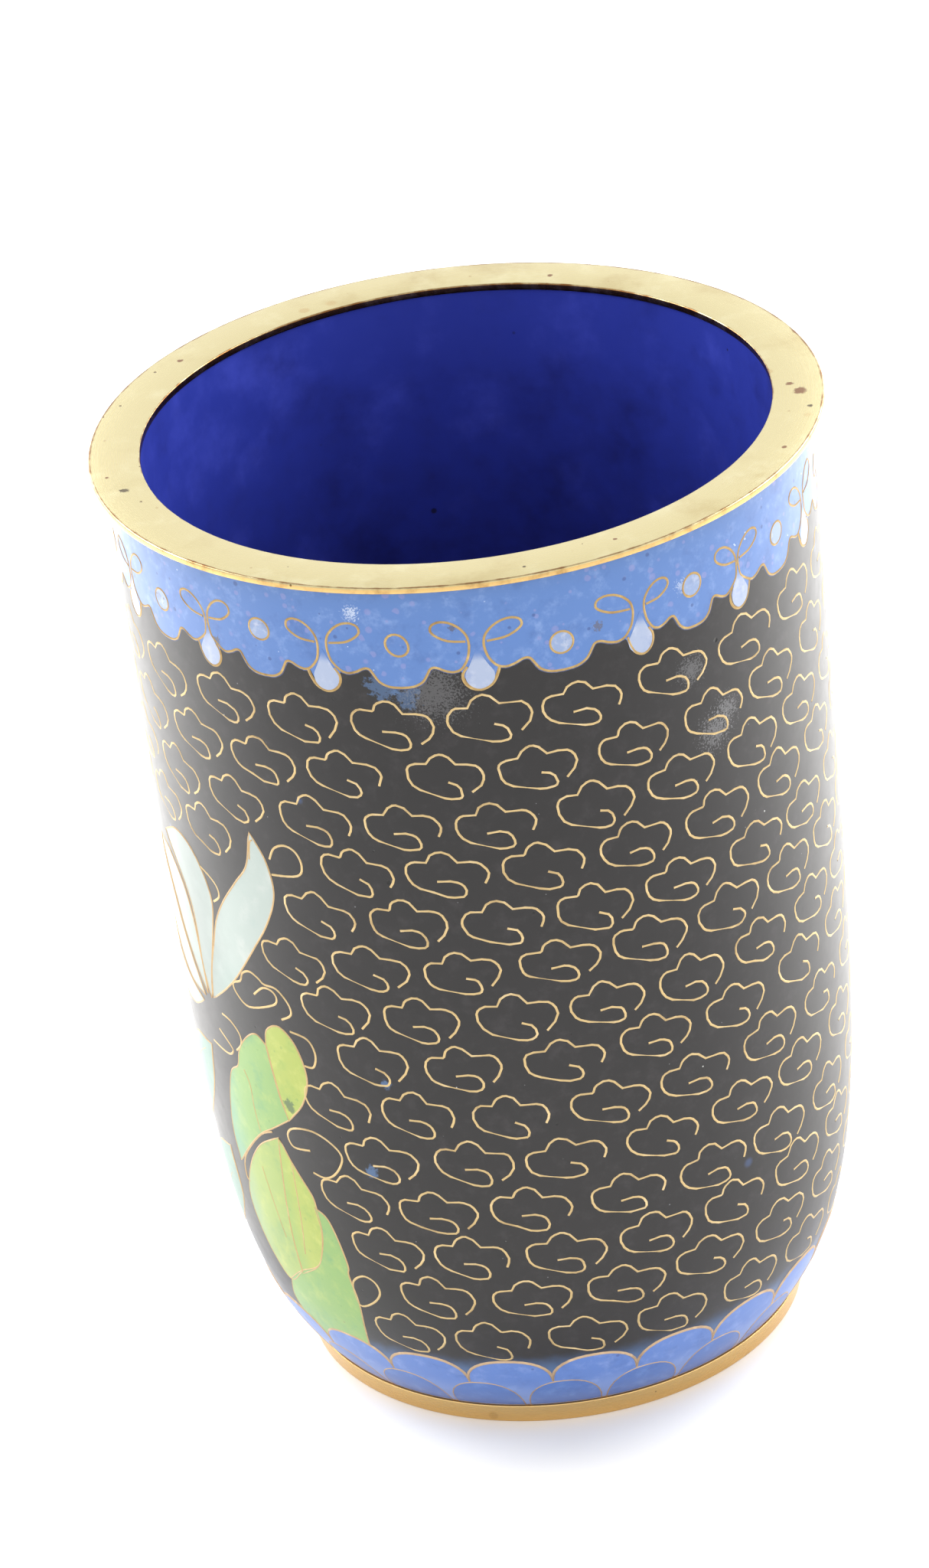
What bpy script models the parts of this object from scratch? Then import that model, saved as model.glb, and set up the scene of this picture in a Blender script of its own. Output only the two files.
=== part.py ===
"""A small cloisonné cup: a turned metal cup that carries fields of enamel.

The cup stands on its foot ring with its axis on Z. Angles round the wall are
in degrees from the viewer's side (-Y) and grow towards +X. Every outside size
is taken on the finished surface of the enamel, and the metal lies below it.
"""

import math

import bmesh
import bpy
from mathutils import Vector

# Rim: a broad flat ring that stands a little proud of the wall
HEIGHT = 0.0640
RIM_RADIUS = 0.0230
RIM_WIDTH = 0.00325
RIM_EDGE = 0.00040
RIM_LIP = 0.00050
RIM_OVERHANG = 0.00095

# Wall: nearly straight, then a round belly that runs in to the foot
WALL_TAPER = 0.00035
BELLY_HEIGHT = 0.0370
BELLY_SHOULDER = 0.0218
BELLY_HEEL_OUT = 0.0044
BELLY_HEEL_UP = 0.0053

# Foot ring and the recess under the cup
FOOT_RADIUS = 0.0163
FOOT_FLARE = 0.00025
FOOT_STEP = 0.00025
FOOT_HEIGHT = 0.00135
FOOT_WIDTH = 0.00130
FOOT_RECESS = 0.00160

# Thickness of metal and enamel, and the clearance between them
METAL_WALL = 0.00070
METAL_FLOOR = 0.00090
ENAMEL = 0.00050
LINING = 0.00035
BASE_ENAMEL = 0.00040
CLEARANCE = 0.00030
EDGE_BREAK = 0.00010
FLOOR_CORNER_HEIGHT = 0.0062
FLOOR_CORNER = 0.0030

# Collar: each repeat hangs a deep lobe between two shallow ones and a drop,
# and the turn is the angle of the first deep lobe
COLLAR_DEPTH = 0.0056
COLLAR_REPEATS = 15
COLLAR_TURN = 11.2
DEEP_LOBE = 0.00140
SHALLOW_LOBE = 0.00040
DROP_LOBE = 0.00170

# Lappet band above the foot, with the angle of its first arch
LAPPET_REPEATS = 21
LAPPET_TURN = 5.5
LAPPET_RISE = 0.0051
LAPPET_ARCH = 0.0022

# The wire between two cells of enamel stands in this gap
WIRE_GAP = 0.00030

# Fineness of the facets
SEGMENTS = 40
BELLY_STEPS = 4
BELLY_CROWDING = 0.75
CORNER_STEPS = 2
LAPPET_STEPS = 4
OUTLINE_STEPS = 2
WELD = 0.000001
CUTTER_REACH = 0.0012

COBALT = (0.025, 0.030, 0.32)
CORNFLOWER = (0.16, 0.32, 0.75)
LAPPET_BLUE = (0.10, 0.20, 0.62)
BLACK = (0.045, 0.042, 0.045)
BRASS = (0.86, 0.66, 0.30)
WHITE = (0.78, 0.90, 0.84)
YELLOW_GREEN = (0.50, 0.68, 0.12)
LEAF_GREEN = (0.24, 0.55, 0.22)
DEEP_GREEN = (0.10, 0.38, 0.28)

WALL_TOP = HEIGHT - RIM_EDGE
WALL_RADIUS = RIM_RADIUS - RIM_OVERHANG
BELLY_RADIUS = WALL_RADIUS - WALL_TAPER
HEEL_RADIUS = FOOT_RADIUS + FOOT_FLARE - FOOT_STEP
METAL_INSET = ENAMEL + CLEARANCE
HOLLOW_INSET = METAL_INSET + METAL_WALL
LINING_BACK_INSET = HOLLOW_INSET + CLEARANCE
LINING_FACE_INSET = LINING_BACK_INSET + LINING
METAL_FLOOR_TOP = FOOT_RECESS + METAL_FLOOR
LINING_FLOOR_BACK = METAL_FLOOR_TOP + CLEARANCE
LINING_FLOOR_FACE = LINING_FLOOR_BACK + LINING
COLLAR_CUSPS = WALL_TOP - COLLAR_DEPTH
LAPPET_TOP = FOOT_HEIGHT + LAPPET_RISE
FIELD_HEIGHT = COLLAR_CUSPS - LAPPET_TOP

# Lobes of half a collar repeat: centre and half width as shares of it, drop
LOBES = (
    (0.00, 0.39, DEEP_LOBE),
    (0.58, 0.19, SHALLOW_LOBE),
    (1.00, 0.23, DROP_LOBE),
)
LOBE_COLUMNS = (0.0, 0.24, 0.39, 0.58, 0.77)

# Cells of the lily: outline points as degrees round the cup and per cent of
# the black field's height, then which of the points are sharp corners
PETALS = {
    "lily_petal_right": (
        [(-45.5, 74.0), (-43.1, 70.9), (-42.4, 66.8), (-44.8, 62.4), (-48.8, 58.1),
         (-54.5, 52.7), (-59.0, 49.4), (-64.0, 46.5), (-62.6, 50.7), (-60.2, 55.2),
         (-58.3, 58.7), (-55.2, 62.2), (-50.8, 66.1), (-47.2, 69.4)],
        (0, 7),
    ),
    "lily_petal_inner_right": (
        [(-76.0, 65.7), (-70.0, 67.8), (-65.0, 67.4), (-61.3, 64.9), (-59.6, 61.6),
         (-60.4, 58.1), (-62.0, 54.2), (-63.9, 50.0), (-65.2, 46.3), (-66.3, 50.3),
         (-66.4, 54.6), (-67.2, 58.5), (-70.2, 62.0)],
        (0, 8),
    ),
    "lily_petal_middle": (
        [(-83.0, 62.4), (-76.5, 62.8), (-71.0, 60.4), (-68.4, 56.5), (-67.5, 51.9),
         (-66.9, 46.5), (-70.0, 49.4), (-73.2, 52.7), (-76.6, 56.9)],
        (0, 5),
    ),
    "lily_petal_inner_left": (
        [(-95.0, 60.0), (-87.0, 60.0), (-80.0, 57.7), (-75.6, 52.9), (-72.0, 49.0),
         (-68.6, 45.5), (-75.0, 45.9), (-82.0, 49.2), (-88.0, 53.8)],
        (0, 5),
    ),
    "lily_petal_left": (
        [(-102.0, 50.3), (-94.0, 50.7), (-87.0, 48.8), (-80.0, 45.9), (-70.0, 43.9),
         (-76.0, 41.6), (-84.0, 41.2), (-93.0, 44.5)],
        (0, 4),
    ),
}
YELLOW_LEAVES = {
    "upper_leaf_tip": (
        [(-49.2, 43.5), (-48.4, 45.9), (-45.5, 47.0), (-42.6, 45.1), (-41.2, 41.0),
         (-43.0, 37.1), (-46.6, 34.0), (-47.7, 36.6), (-48.5, 39.9)],
        (0, 6),
    ),
    "lower_leaf_heart": (
        [(-50.3, 29.2), (-48.6, 26.9), (-46.5, 24.6), (-44.8, 22.6), (-44.4, 20.6),
         (-44.2, 17.6), (-45.4, 14.2), (-47.8, 11.2), (-52.6, 8.8), (-52.4, 13.7),
         (-51.9, 18.5), (-51.1, 24.0)],
        (0, 4, 8),
    ),
}
GREEN_LEAVES = {
    "upper_leaf_side": (
        [(-49.8, 43.4), (-52.0, 44.3), (-55.0, 42.8), (-57.6, 40.3), (-59.0, 37.7),
         (-62.0, 35.8), (-64.6, 30.9), (-66.0, 26.1), (-65.6, 22.2), (-61.0, 25.7),
         (-56.0, 29.2), (-51.8, 31.3), (-47.3, 33.6), (-48.3, 36.6), (-49.1, 39.9)],
        (0, 8, 12),
    ),
    "lower_leaf_side": (
        [(-51.0, 29.4), (-51.8, 24.0), (-52.6, 18.5), (-53.1, 13.7), (-53.2, 8.9),
         (-58.5, 5.9), (-62.0, 8.4), (-64.6, 12.7), (-65.0, 17.0), (-61.5, 22.2),
         (-56.5, 26.7)],
        (0, 4),
    ),
    "lower_leaf_tip": (
        [(-44.0, 20.6), (-42.2, 19.7), (-40.8, 16.9), (-39.9, 13.2), (-39.7, 7.4),
         (-40.4, 3.2), (-45.0, 2.6), (-51.0, 2.6), (-58.1, 5.6), (-53.0, 8.45),
         (-47.2, 10.9), (-44.8, 14.0), (-43.6, 17.6)],
        (0, 8),
    ),
}
BACK_LEAVES = {
    "left_leaf_blade": (
        [(-70.0, 37.1), (-79.0, 35.6), (-89.0, 29.4), (-99.0, 17.7), (-90.0, 19.3),
         (-80.0, 24.2), (-73.0, 30.6)],
        (0, 3),
    ),
    "left_leaf_low": (
        [(-71.0, 21.6), (-79.0, 19.3), (-88.0, 12.7), (-97.0, 4.2), (-87.0, 4.8),
         (-78.0, 8.4), (-71.0, 14.6)],
        (0, 3),
    ),
}


def clear_scene():
    """Remove whatever the file opened with."""
    for obj in list(bpy.data.objects):
        bpy.data.objects.remove(obj, do_unlink=True)


def new_collection(name):
    """Make a collection in the scene."""
    collection = bpy.data.collections.new(name)
    bpy.context.scene.collection.children.link(collection)
    return collection


def new_material(name, colour, roughness, metallic=0.0):
    """Make a plain Principled material."""
    material = bpy.data.materials.new(name)
    material.use_nodes = True
    shader = material.node_tree.nodes["Principled BSDF"]
    shader.inputs["Base Color"].default_value = (*colour, 1.0)
    shader.inputs["Roughness"].default_value = roughness
    shader.inputs["Metallic"].default_value = metallic
    return material


def new_object(name, mesh, collection, material=None):
    """Put a mesh in the scene as a named object."""
    obj = bpy.data.objects.new(name, mesh)
    collection.objects.link(obj)
    if material:
        mesh.materials.append(material)
    return obj


def shade(mesh):
    """Shade the round faces smooth and keep the real edges crisp."""
    mesh.shade_smooth()
    mesh.set_sharp_from_angle(angle=math.radians(35))


def mark_cutter(obj):
    """Show a cutter as wire and keep it out of the model."""
    obj.hide_render = True
    obj.display_type = "WIRE"


def belly_point(t):
    """Radius and height on the belly's curve, from its top (0) to the foot (1)."""
    top = Vector((BELLY_RADIUS, BELLY_HEIGHT))
    slope = WALL_TAPER / (WALL_TOP - BELLY_HEIGHT)
    shoulder = top - Vector((slope * BELLY_SHOULDER, BELLY_SHOULDER))
    end = Vector((HEEL_RADIUS, FOOT_HEIGHT))
    heel = end + Vector((BELLY_HEEL_OUT, BELLY_HEEL_UP))
    s = 1.0 - t
    return top * s ** 3 + shoulder * (3 * s * s * t) + heel * (3 * s * t * t) + end * t ** 3


def wall_radius(height):
    """Radius of the finished outer surface at a height."""
    if height >= BELLY_HEIGHT:
        share = (height - BELLY_HEIGHT) / (WALL_TOP - BELLY_HEIGHT)
        return BELLY_RADIUS + WALL_TAPER * share
    low, high = 0.0, 1.0
    for _ in range(30):
        middle = (low + high) / 2
        if belly_point(middle).y > height:
            low = middle
        else:
            high = middle
    return belly_point(low).x


def wall_point(height, inset=0.0):
    """Radius and height of a point at a depth square to the outer surface."""
    step = HEIGHT / 1000
    slope = (wall_radius(height + step) - wall_radius(height - step)) / (2 * step)
    normal = Vector((1.0, -slope)).normalized()
    return Vector((wall_radius(height), height)) - normal * inset


def on_wall(angle, height, inset=0.0):
    """Place a point on the wall from its angle, height and depth."""
    point = wall_point(height, inset)
    turn = math.radians(angle)
    return Vector((point.x * math.sin(turn), -point.x * math.cos(turn), point.y))


def wall_levels(low, high):
    """Heights between two levels, closer together where the belly curves."""
    bends = [belly_point((i / BELLY_STEPS) ** BELLY_CROWDING).y for i in range(BELLY_STEPS)]
    margin = (BELLY_HEIGHT - FOOT_HEIGHT) / BELLY_STEPS / 4
    inner = [level for level in bends if low + margin < level < high - margin]
    return [low] + sorted(inner) + [high]


def hollow_line(inset, floor, top):
    """Profile of a cup-shaped face: centre of its floor, round corner, wall, top."""
    line = [wall_point(level, inset) for level in wall_levels(FLOOR_CORNER_HEIGHT, top)]
    line[-1].y = top
    start = line[0]
    lean = line[1] - start
    meet = Vector((start.x - (start.y - floor) * lean.x / lean.y, floor))
    end = meet - Vector((FLOOR_CORNER, 0.0))
    corner = []
    for i in range(CORNER_STEPS):
        t = i / CORNER_STEPS
        corner.append(end * (1 - t) ** 2 + meet * (2 * t * (1 - t)) + start * t * t)
    return [Vector((0.0, floor))] + corner + line


def turned(name, profile, collection, material):
    """Turn a profile of radius and height round Z."""
    mesh = bpy.data.meshes.new(name)
    bm = bmesh.new()
    points = [bm.verts.new((point[0], 0.0, point[1])) for point in profile]
    for start, end in zip(points, points[1:]):
        bm.edges.new((start, end))
    bm.to_mesh(mesh)
    bm.free()
    obj = new_object(name, mesh, collection, material)
    screw = obj.modifiers.new("Turn", "SCREW")
    screw.axis = "Z"
    screw.angle = math.tau
    screw.steps = SEGMENTS
    screw.render_steps = SEGMENTS
    screw.use_merge_vertices = True
    screw.merge_threshold = WELD
    screw.use_smooth_shade = True
    return obj


def wrapped(name, angles, levels, low, high, inset, thickness, collection, material=None):
    """Wrap a sheet round the wall between two edges and thicken it inwards.

    low and high give an edge's height at an angle, and levels are the shares
    of the way between them where the sheet has a row of points.
    """
    columns = len(angles) - 1
    rows = len(levels) - 1
    bm = bmesh.new()
    bmesh.ops.create_grid(bm, x_segments=columns, y_segments=rows, size=1.0)
    for vert in bm.verts:
        angle = angles[round((vert.co.x + 1) / 2 * columns)]
        level = levels[round((vert.co.y + 1) / 2 * rows)]
        bottom = low(angle)
        vert.co = on_wall(angle, bottom + (high(angle) - bottom) * level, inset)
    bmesh.ops.remove_doubles(bm, verts=bm.verts, dist=WELD)
    mesh = bpy.data.meshes.new(name)
    bm.to_mesh(mesh)
    bm.free()
    shade(mesh)
    obj = new_object(name, mesh, collection, material)
    solidify = obj.modifiers.new("Thickness", "SOLIDIFY")
    solidify.thickness = thickness
    solidify.offset = -1.0
    solidify.use_even_offset = True
    return obj


def collar_edge(angle):
    """Height of the collar's scalloped lower edge at an angle."""
    half = 180.0 / COLLAR_REPEATS
    share = abs((angle - COLLAR_TURN + half) % (2 * half) - half) / half
    for centre, width, drop in LOBES:
        reach = abs(share - centre) / width
        if reach < 1.0:
            return COLLAR_CUSPS - drop * math.sqrt(1.0 - reach * reach)
    return COLLAR_CUSPS


def collar_angles():
    """Angles of the collar's columns, with one on each cusp and lobe."""
    half = 180.0 / COLLAR_REPEATS
    shares = [-share for share in reversed(LOBE_COLUMNS[1:])] + list(LOBE_COLUMNS) + [1.0]
    angles = [COLLAR_TURN - half]
    for repeat in range(COLLAR_REPEATS):
        middle = COLLAR_TURN + repeat * 2 * half
        angles += [middle + share * half for share in shares]
    return angles


def lappet_edge(angle):
    """Height of the arched upper edge of the lappet band at an angle."""
    half = 180.0 / LAPPET_REPEATS
    reach = ((angle - LAPPET_TURN + half) % (2 * half) - half) / half
    return LAPPET_TOP - LAPPET_ARCH * (1.0 - math.sqrt(max(0.0, 1.0 - reach * reach)))


def even_angles(start, stop, count):
    """Angles at even steps from start to stop."""
    return [start + (stop - start) * i / count for i in range(count + 1)]


def smooth_outline(points, corners):
    """Run a smooth closed line through points, breaking it at the corners."""
    count = len(points)
    outline = []
    for i, point in enumerate(points):
        after = points[(i + 1) % count]
        before = points[i - 1]
        beyond = points[(i + 2) % count]
        leave = after - point if i in corners else (after - before) / 2
        arrive = after - point if (i + 1) % count in corners else (beyond - point) / 2
        for k in range(OUTLINE_STEPS):
            t = k / OUTLINE_STEPS
            outline.append(
                point * (2 * t ** 3 - 3 * t ** 2 + 1) + leave * (t ** 3 - 2 * t ** 2 + t)
                + after * (3 * t ** 2 - 2 * t ** 3) + arrive * (t ** 3 - t ** 2))
    return outline


def widened(outline, distance):
    """Move a closed outline outwards by a distance, or inwards if it is negative."""
    count = len(outline)
    area = sum(outline[i - 1].cross(outline[i]) for i in range(count))
    side = 1.0 if area > 0 else -1.0
    moved = []
    for i, point in enumerate(outline):
        along = (point - outline[i - 1]).normalized()
        onward = (outline[(i + 1) % count] - point).normalized()
        normal = Vector((along.y + onward.y, -along.x - onward.x)).normalized() * side
        square = max(0.35, abs(normal.dot(Vector((along.y, -along.x)))))
        moved.append(point + normal * distance / square)
    return moved


def prism(name, outline, angle, collection):
    """Stand an outline on the wall at an angle as a solid that runs inwards."""
    curve = bpy.data.curves.new(name, "CURVE")
    curve.dimensions = "2D"
    curve.fill_mode = "BOTH"
    inner = HEEL_RADIUS * 0.6
    outer = RIM_RADIUS * 1.1
    curve.extrude = (outer - inner) / 2
    spline = curve.splines.new("POLY")
    spline.points.add(len(outline) - 1)
    for target, point in zip(spline.points, outline):
        target.co = (point.x, point.y, 0.0, 1.0)
    spline.use_cyclic_u = True
    turn = math.radians(angle)
    reach = (outer + inner) / 2
    flat = bpy.data.objects.new(name + "_outline", curve)
    collection.objects.link(flat)
    flat.location = (reach * math.sin(turn), -reach * math.cos(turn), 0.0)
    flat.rotation_euler = (math.radians(90), 0.0, turn)
    bpy.context.view_layer.update()
    graph = bpy.context.evaluated_depsgraph_get()
    mesh = bpy.data.meshes.new_from_object(flat.evaluated_get(graph))
    bm = bmesh.new()
    bm.from_mesh(mesh)
    bmesh.ops.remove_doubles(bm, verts=bm.verts, dist=WELD)
    bmesh.ops.recalc_face_normals(bm, faces=bm.faces)
    bm.to_mesh(mesh)
    bm.free()
    obj = new_object(name, mesh, collection)
    obj.matrix_world = flat.matrix_world
    bpy.data.objects.remove(flat, do_unlink=True)
    mark_cutter(obj)
    return obj


def cut(obj, operand, operation):
    """Add a Boolean against an object or a collection of cutters."""
    modifier = obj.modifiers.new(operand.name, "BOOLEAN")
    modifier.operation = operation
    modifier.solver = "EXACT"
    if isinstance(operand, bpy.types.Collection):
        modifier.operand_type = "COLLECTION"
        modifier.collection = operand
    else:
        modifier.object = operand


def add_cell(name, points, corners, material, parts, guides, cutters):
    """Add one cell of the flower: its glass, and the cutter that makes room for it."""
    middle = (min(point[0] for point in points) + max(point[0] for point in points)) / 2
    placed = []
    for angle, percent in points:
        height = LAPPET_TOP + FIELD_HEIGHT * percent / 100
        placed.append(Vector((
            wall_radius(height) * math.sin(math.radians(angle - middle)), height)))
    outline = smooth_outline(placed, corners)
    prism(name + "_room", widened(outline, WIRE_GAP / 2), middle, cutters)
    shape = prism(name + "_shape", widened(outline, -WIRE_GAP / 2), middle, guides)
    step = 360.0 / SEGMENTS
    start = (math.floor(min(point[0] for point in points) / step) - 1) * step
    stop = (math.ceil(max(point[0] for point in points) / step) + 1) * step
    low = min(point.y for point in placed) - FOOT_HEIGHT / 2
    high = max(point.y for point in placed) + FOOT_HEIGHT
    heights = wall_levels(low, high)
    skin = wrapped(
        name, even_angles(start, stop, round((stop - start) / step)),
        [(height - low) / (high - low) for height in heights],
        lambda angle: low, lambda angle: high, 0.0, ENAMEL, parts, material)
    cut(skin, shape, "INTERSECT")


def add_metal_vessel(parts):
    """Add the turned cup with its rim, wall, floor and foot ring."""
    hollow = hollow_line(HOLLOW_INSET, METAL_FLOOR_TOP, HEIGHT - RIM_LIP)
    rim_inner = RIM_RADIUS - RIM_WIDTH
    foot_top = FOOT_RADIUS + FOOT_FLARE
    wall = [wall_point(level, METAL_INSET) for level in reversed(wall_levels(FOOT_HEIGHT, WALL_TOP))]
    wall[0].y = WALL_TOP
    profile = hollow + [
        (rim_inner, HEIGHT - RIM_LIP),
        (rim_inner, HEIGHT - EDGE_BREAK),
        (rim_inner + EDGE_BREAK, HEIGHT),
        (RIM_RADIUS - EDGE_BREAK, HEIGHT),
        (RIM_RADIUS, HEIGHT - EDGE_BREAK),
        (RIM_RADIUS, WALL_TOP),
    ] + wall + [
        (wall[-1].x, FOOT_HEIGHT),
        (foot_top, FOOT_HEIGHT),
        (FOOT_RADIUS, 0.0),
        (FOOT_RADIUS - FOOT_WIDTH, 0.0),
        (FOOT_RADIUS - FOOT_WIDTH, FOOT_RECESS),
        (0.0, FOOT_RECESS),
    ]
    material = new_material("brass", BRASS, 0.30, 1.0)
    turned("metal_vessel", profile, parts, material)


def add_lining(parts):
    """Add the cobalt enamel that lines the inside."""
    top = HEIGHT - RIM_LIP - CLEARANCE
    face = hollow_line(LINING_FACE_INSET, LINING_FLOOR_FACE, top)
    back = hollow_line(LINING_BACK_INSET, LINING_FLOOR_BACK, top)
    material = new_material("cobalt_enamel", COBALT, 0.25)
    turned("lining_enamel", face + back[::-1], parts, material)


def add_base_enamel(parts):
    """Add the disc of enamel in the recess under the foot."""
    mesh = bpy.data.meshes.new("base_enamel")
    radius = FOOT_RADIUS - FOOT_WIDTH - CLEARANCE
    bm = bmesh.new()
    bmesh.ops.create_cone(
        bm, cap_ends=True, segments=SEGMENTS, radius1=radius, radius2=radius, depth=BASE_ENAMEL)
    bm.to_mesh(mesh)
    bm.free()
    shade(mesh)
    obj = new_object("base_enamel", mesh, parts, new_material("base_glaze", COBALT, 0.30))
    obj.location.z = FOOT_RECESS - CLEARANCE - BASE_ENAMEL / 2


def add_collar(parts, cutters):
    """Add the blue collar and the cutter that shapes the ground below it."""
    top = WALL_TOP - CLEARANCE
    angles = collar_angles()
    material = new_material("collar_glaze", CORNFLOWER, 0.30)
    wrapped(
        "collar_enamel", angles, [0.0, 1.0], collar_edge, lambda angle: top,
        0.0, ENAMEL, parts, material)
    room = wrapped(
        "collar_room", angles, [0.0, 1.0], lambda angle: collar_edge(angle) - WIRE_GAP,
        lambda angle: top, -CUTTER_REACH, ENAMEL + 2 * CUTTER_REACH, cutters)
    mark_cutter(room)


def add_lappets(parts, cutters):
    """Add the lappet band and the cutter that shapes the ground above it."""
    foot = FOOT_HEIGHT + CLEARANCE
    angles = even_angles(LAPPET_TURN - 180.0, LAPPET_TURN + 180.0, LAPPET_REPEATS * LAPPET_STEPS)
    material = new_material("lappet_glaze", LAPPET_BLUE, 0.30)
    wrapped(
        "lappet_enamel", angles, [0.0, 1.0], lambda angle: foot, lappet_edge,
        0.0, ENAMEL, parts, material)
    room = wrapped(
        "lappet_room", angles, [0.0, 1.0], lambda angle: foot,
        lambda angle: lappet_edge(angle) + WIRE_GAP, -CUTTER_REACH,
        ENAMEL + 2 * CUTTER_REACH, cutters)
    mark_cutter(room)


def add_ground(parts, cutters):
    """Add the black field, cut out for the collar, the lappets and the flower."""
    low = LAPPET_TOP - LAPPET_ARCH * 0.8
    high = COLLAR_CUSPS + WIRE_GAP
    levels = [(height - low) / (high - low) for height in wall_levels(low, high)]
    material = new_material("black_glaze", BLACK, 0.30)
    ground = wrapped(
        "ground_enamel", even_angles(-180.0, 180.0, SEGMENTS), levels,
        lambda angle: low, lambda angle: high, 0.0, ENAMEL, parts, material)
    cut(ground, cutters, "DIFFERENCE")


def add_flower(parts, guides, cutters):
    """Add the lily's petals and its leaves, each in a cell of its own."""
    for cells, label, colour in (
            (PETALS, "petal_white", WHITE),
            (YELLOW_LEAVES, "leaf_yellow_green", YELLOW_GREEN),
            (GREEN_LEAVES, "leaf_green", LEAF_GREEN),
            (BACK_LEAVES, "leaf_deep_green", DEEP_GREEN)):
        for name, (points, corners) in cells.items():
            material = new_material(name + "_" + label, colour, 0.30)
            add_cell(name, points, corners, material, parts, guides, cutters)


def main():
    """Build the cup."""
    clear_scene()
    parts = new_collection("enamel_vase")
    cutters = new_collection("ground_cutters")
    guides = new_collection("cell_shapes")
    add_metal_vessel(parts)
    add_lining(parts)
    add_base_enamel(parts)
    add_collar(parts, cutters)
    add_lappets(parts, cutters)
    add_flower(parts, guides, cutters)
    add_ground(parts, cutters)


main()
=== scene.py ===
"""The looks of a small cloisonné cup.

Brass rim and foot, flat brass wires, and fields of fused glass between them.
Angles round the cup are in degrees from the viewer's side (-Y) and grow
towards +X. Heights are in metres above the surface that the cup stands on.
"""

import logging
import math
import random
from dataclasses import dataclass
from enum import Enum
from functools import cached_property, lru_cache
from typing import Callable, Sequence

import bmesh
import bpy
import numpy as np
from mathutils import Matrix, Vector


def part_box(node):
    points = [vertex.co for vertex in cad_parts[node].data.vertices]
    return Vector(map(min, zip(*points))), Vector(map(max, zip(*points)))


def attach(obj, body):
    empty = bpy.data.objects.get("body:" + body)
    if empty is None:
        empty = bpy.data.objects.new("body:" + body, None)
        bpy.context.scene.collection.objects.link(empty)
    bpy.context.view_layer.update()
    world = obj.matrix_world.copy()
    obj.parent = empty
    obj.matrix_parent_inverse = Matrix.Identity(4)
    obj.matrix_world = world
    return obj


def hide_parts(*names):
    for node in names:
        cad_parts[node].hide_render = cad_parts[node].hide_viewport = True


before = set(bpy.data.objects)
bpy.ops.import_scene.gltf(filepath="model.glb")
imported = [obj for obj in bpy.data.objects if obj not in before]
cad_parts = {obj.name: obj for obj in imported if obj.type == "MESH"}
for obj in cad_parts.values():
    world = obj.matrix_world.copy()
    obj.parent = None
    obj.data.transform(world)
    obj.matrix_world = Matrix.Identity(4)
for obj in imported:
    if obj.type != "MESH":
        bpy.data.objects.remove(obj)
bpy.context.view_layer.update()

Colour = tuple[float, float, float]
Polar = tuple[float, float]

LOG = logging.getLogger("cloisonne_cup")
MM = 0.001
WELD = 1e-7
FULL_TURN = 360.0
SHARP_ANGLE = math.radians(38)
BODY = "root"
PIT: Colour = (0.012, 0.010, 0.010)
CORNFLOWER: Colour = (0.086, 0.182, 0.445)

# The wall is laid out flat for smooth lines and fills: a degree is as wide there as at this radius.
FLAT_RADIUS = 21.5 * MM
FLAT = math.radians(1.0) * FLAT_RADIUS
STROKE_STEPS = 5


class Slot(Enum):
    """The record's material slots."""

    BRASS = "brass"
    LINING = "cobalt_lining"
    BASE = "base_glaze"
    COLLAR = "collar_glaze"
    BLACK = "black_glaze"
    LAPPET = "lappet_glaze"
    PETAL = "petal_glaze"
    YELLOW_GREEN = "yellow_green_glaze"
    LEAF_GREEN = "leaf_green_glaze"
    DEEP_GREEN = "deep_green_glaze"


class Side(Enum):
    """The side of a motif's own axis that a half of it lies on."""

    LEFT = -1.0
    RIGHT = 1.0


class Way(Enum):
    """The way in which a fade runs over the cup."""

    UP = "Height"
    ROUND = "Angle"


class Tone(Enum):
    """The glasses of the lily and its leaves."""

    PETAL = "petal"
    YELLOW = "yellow green"
    GREEN = "green"
    LIME = "lime"
    DEEP = "deep green"


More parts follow.
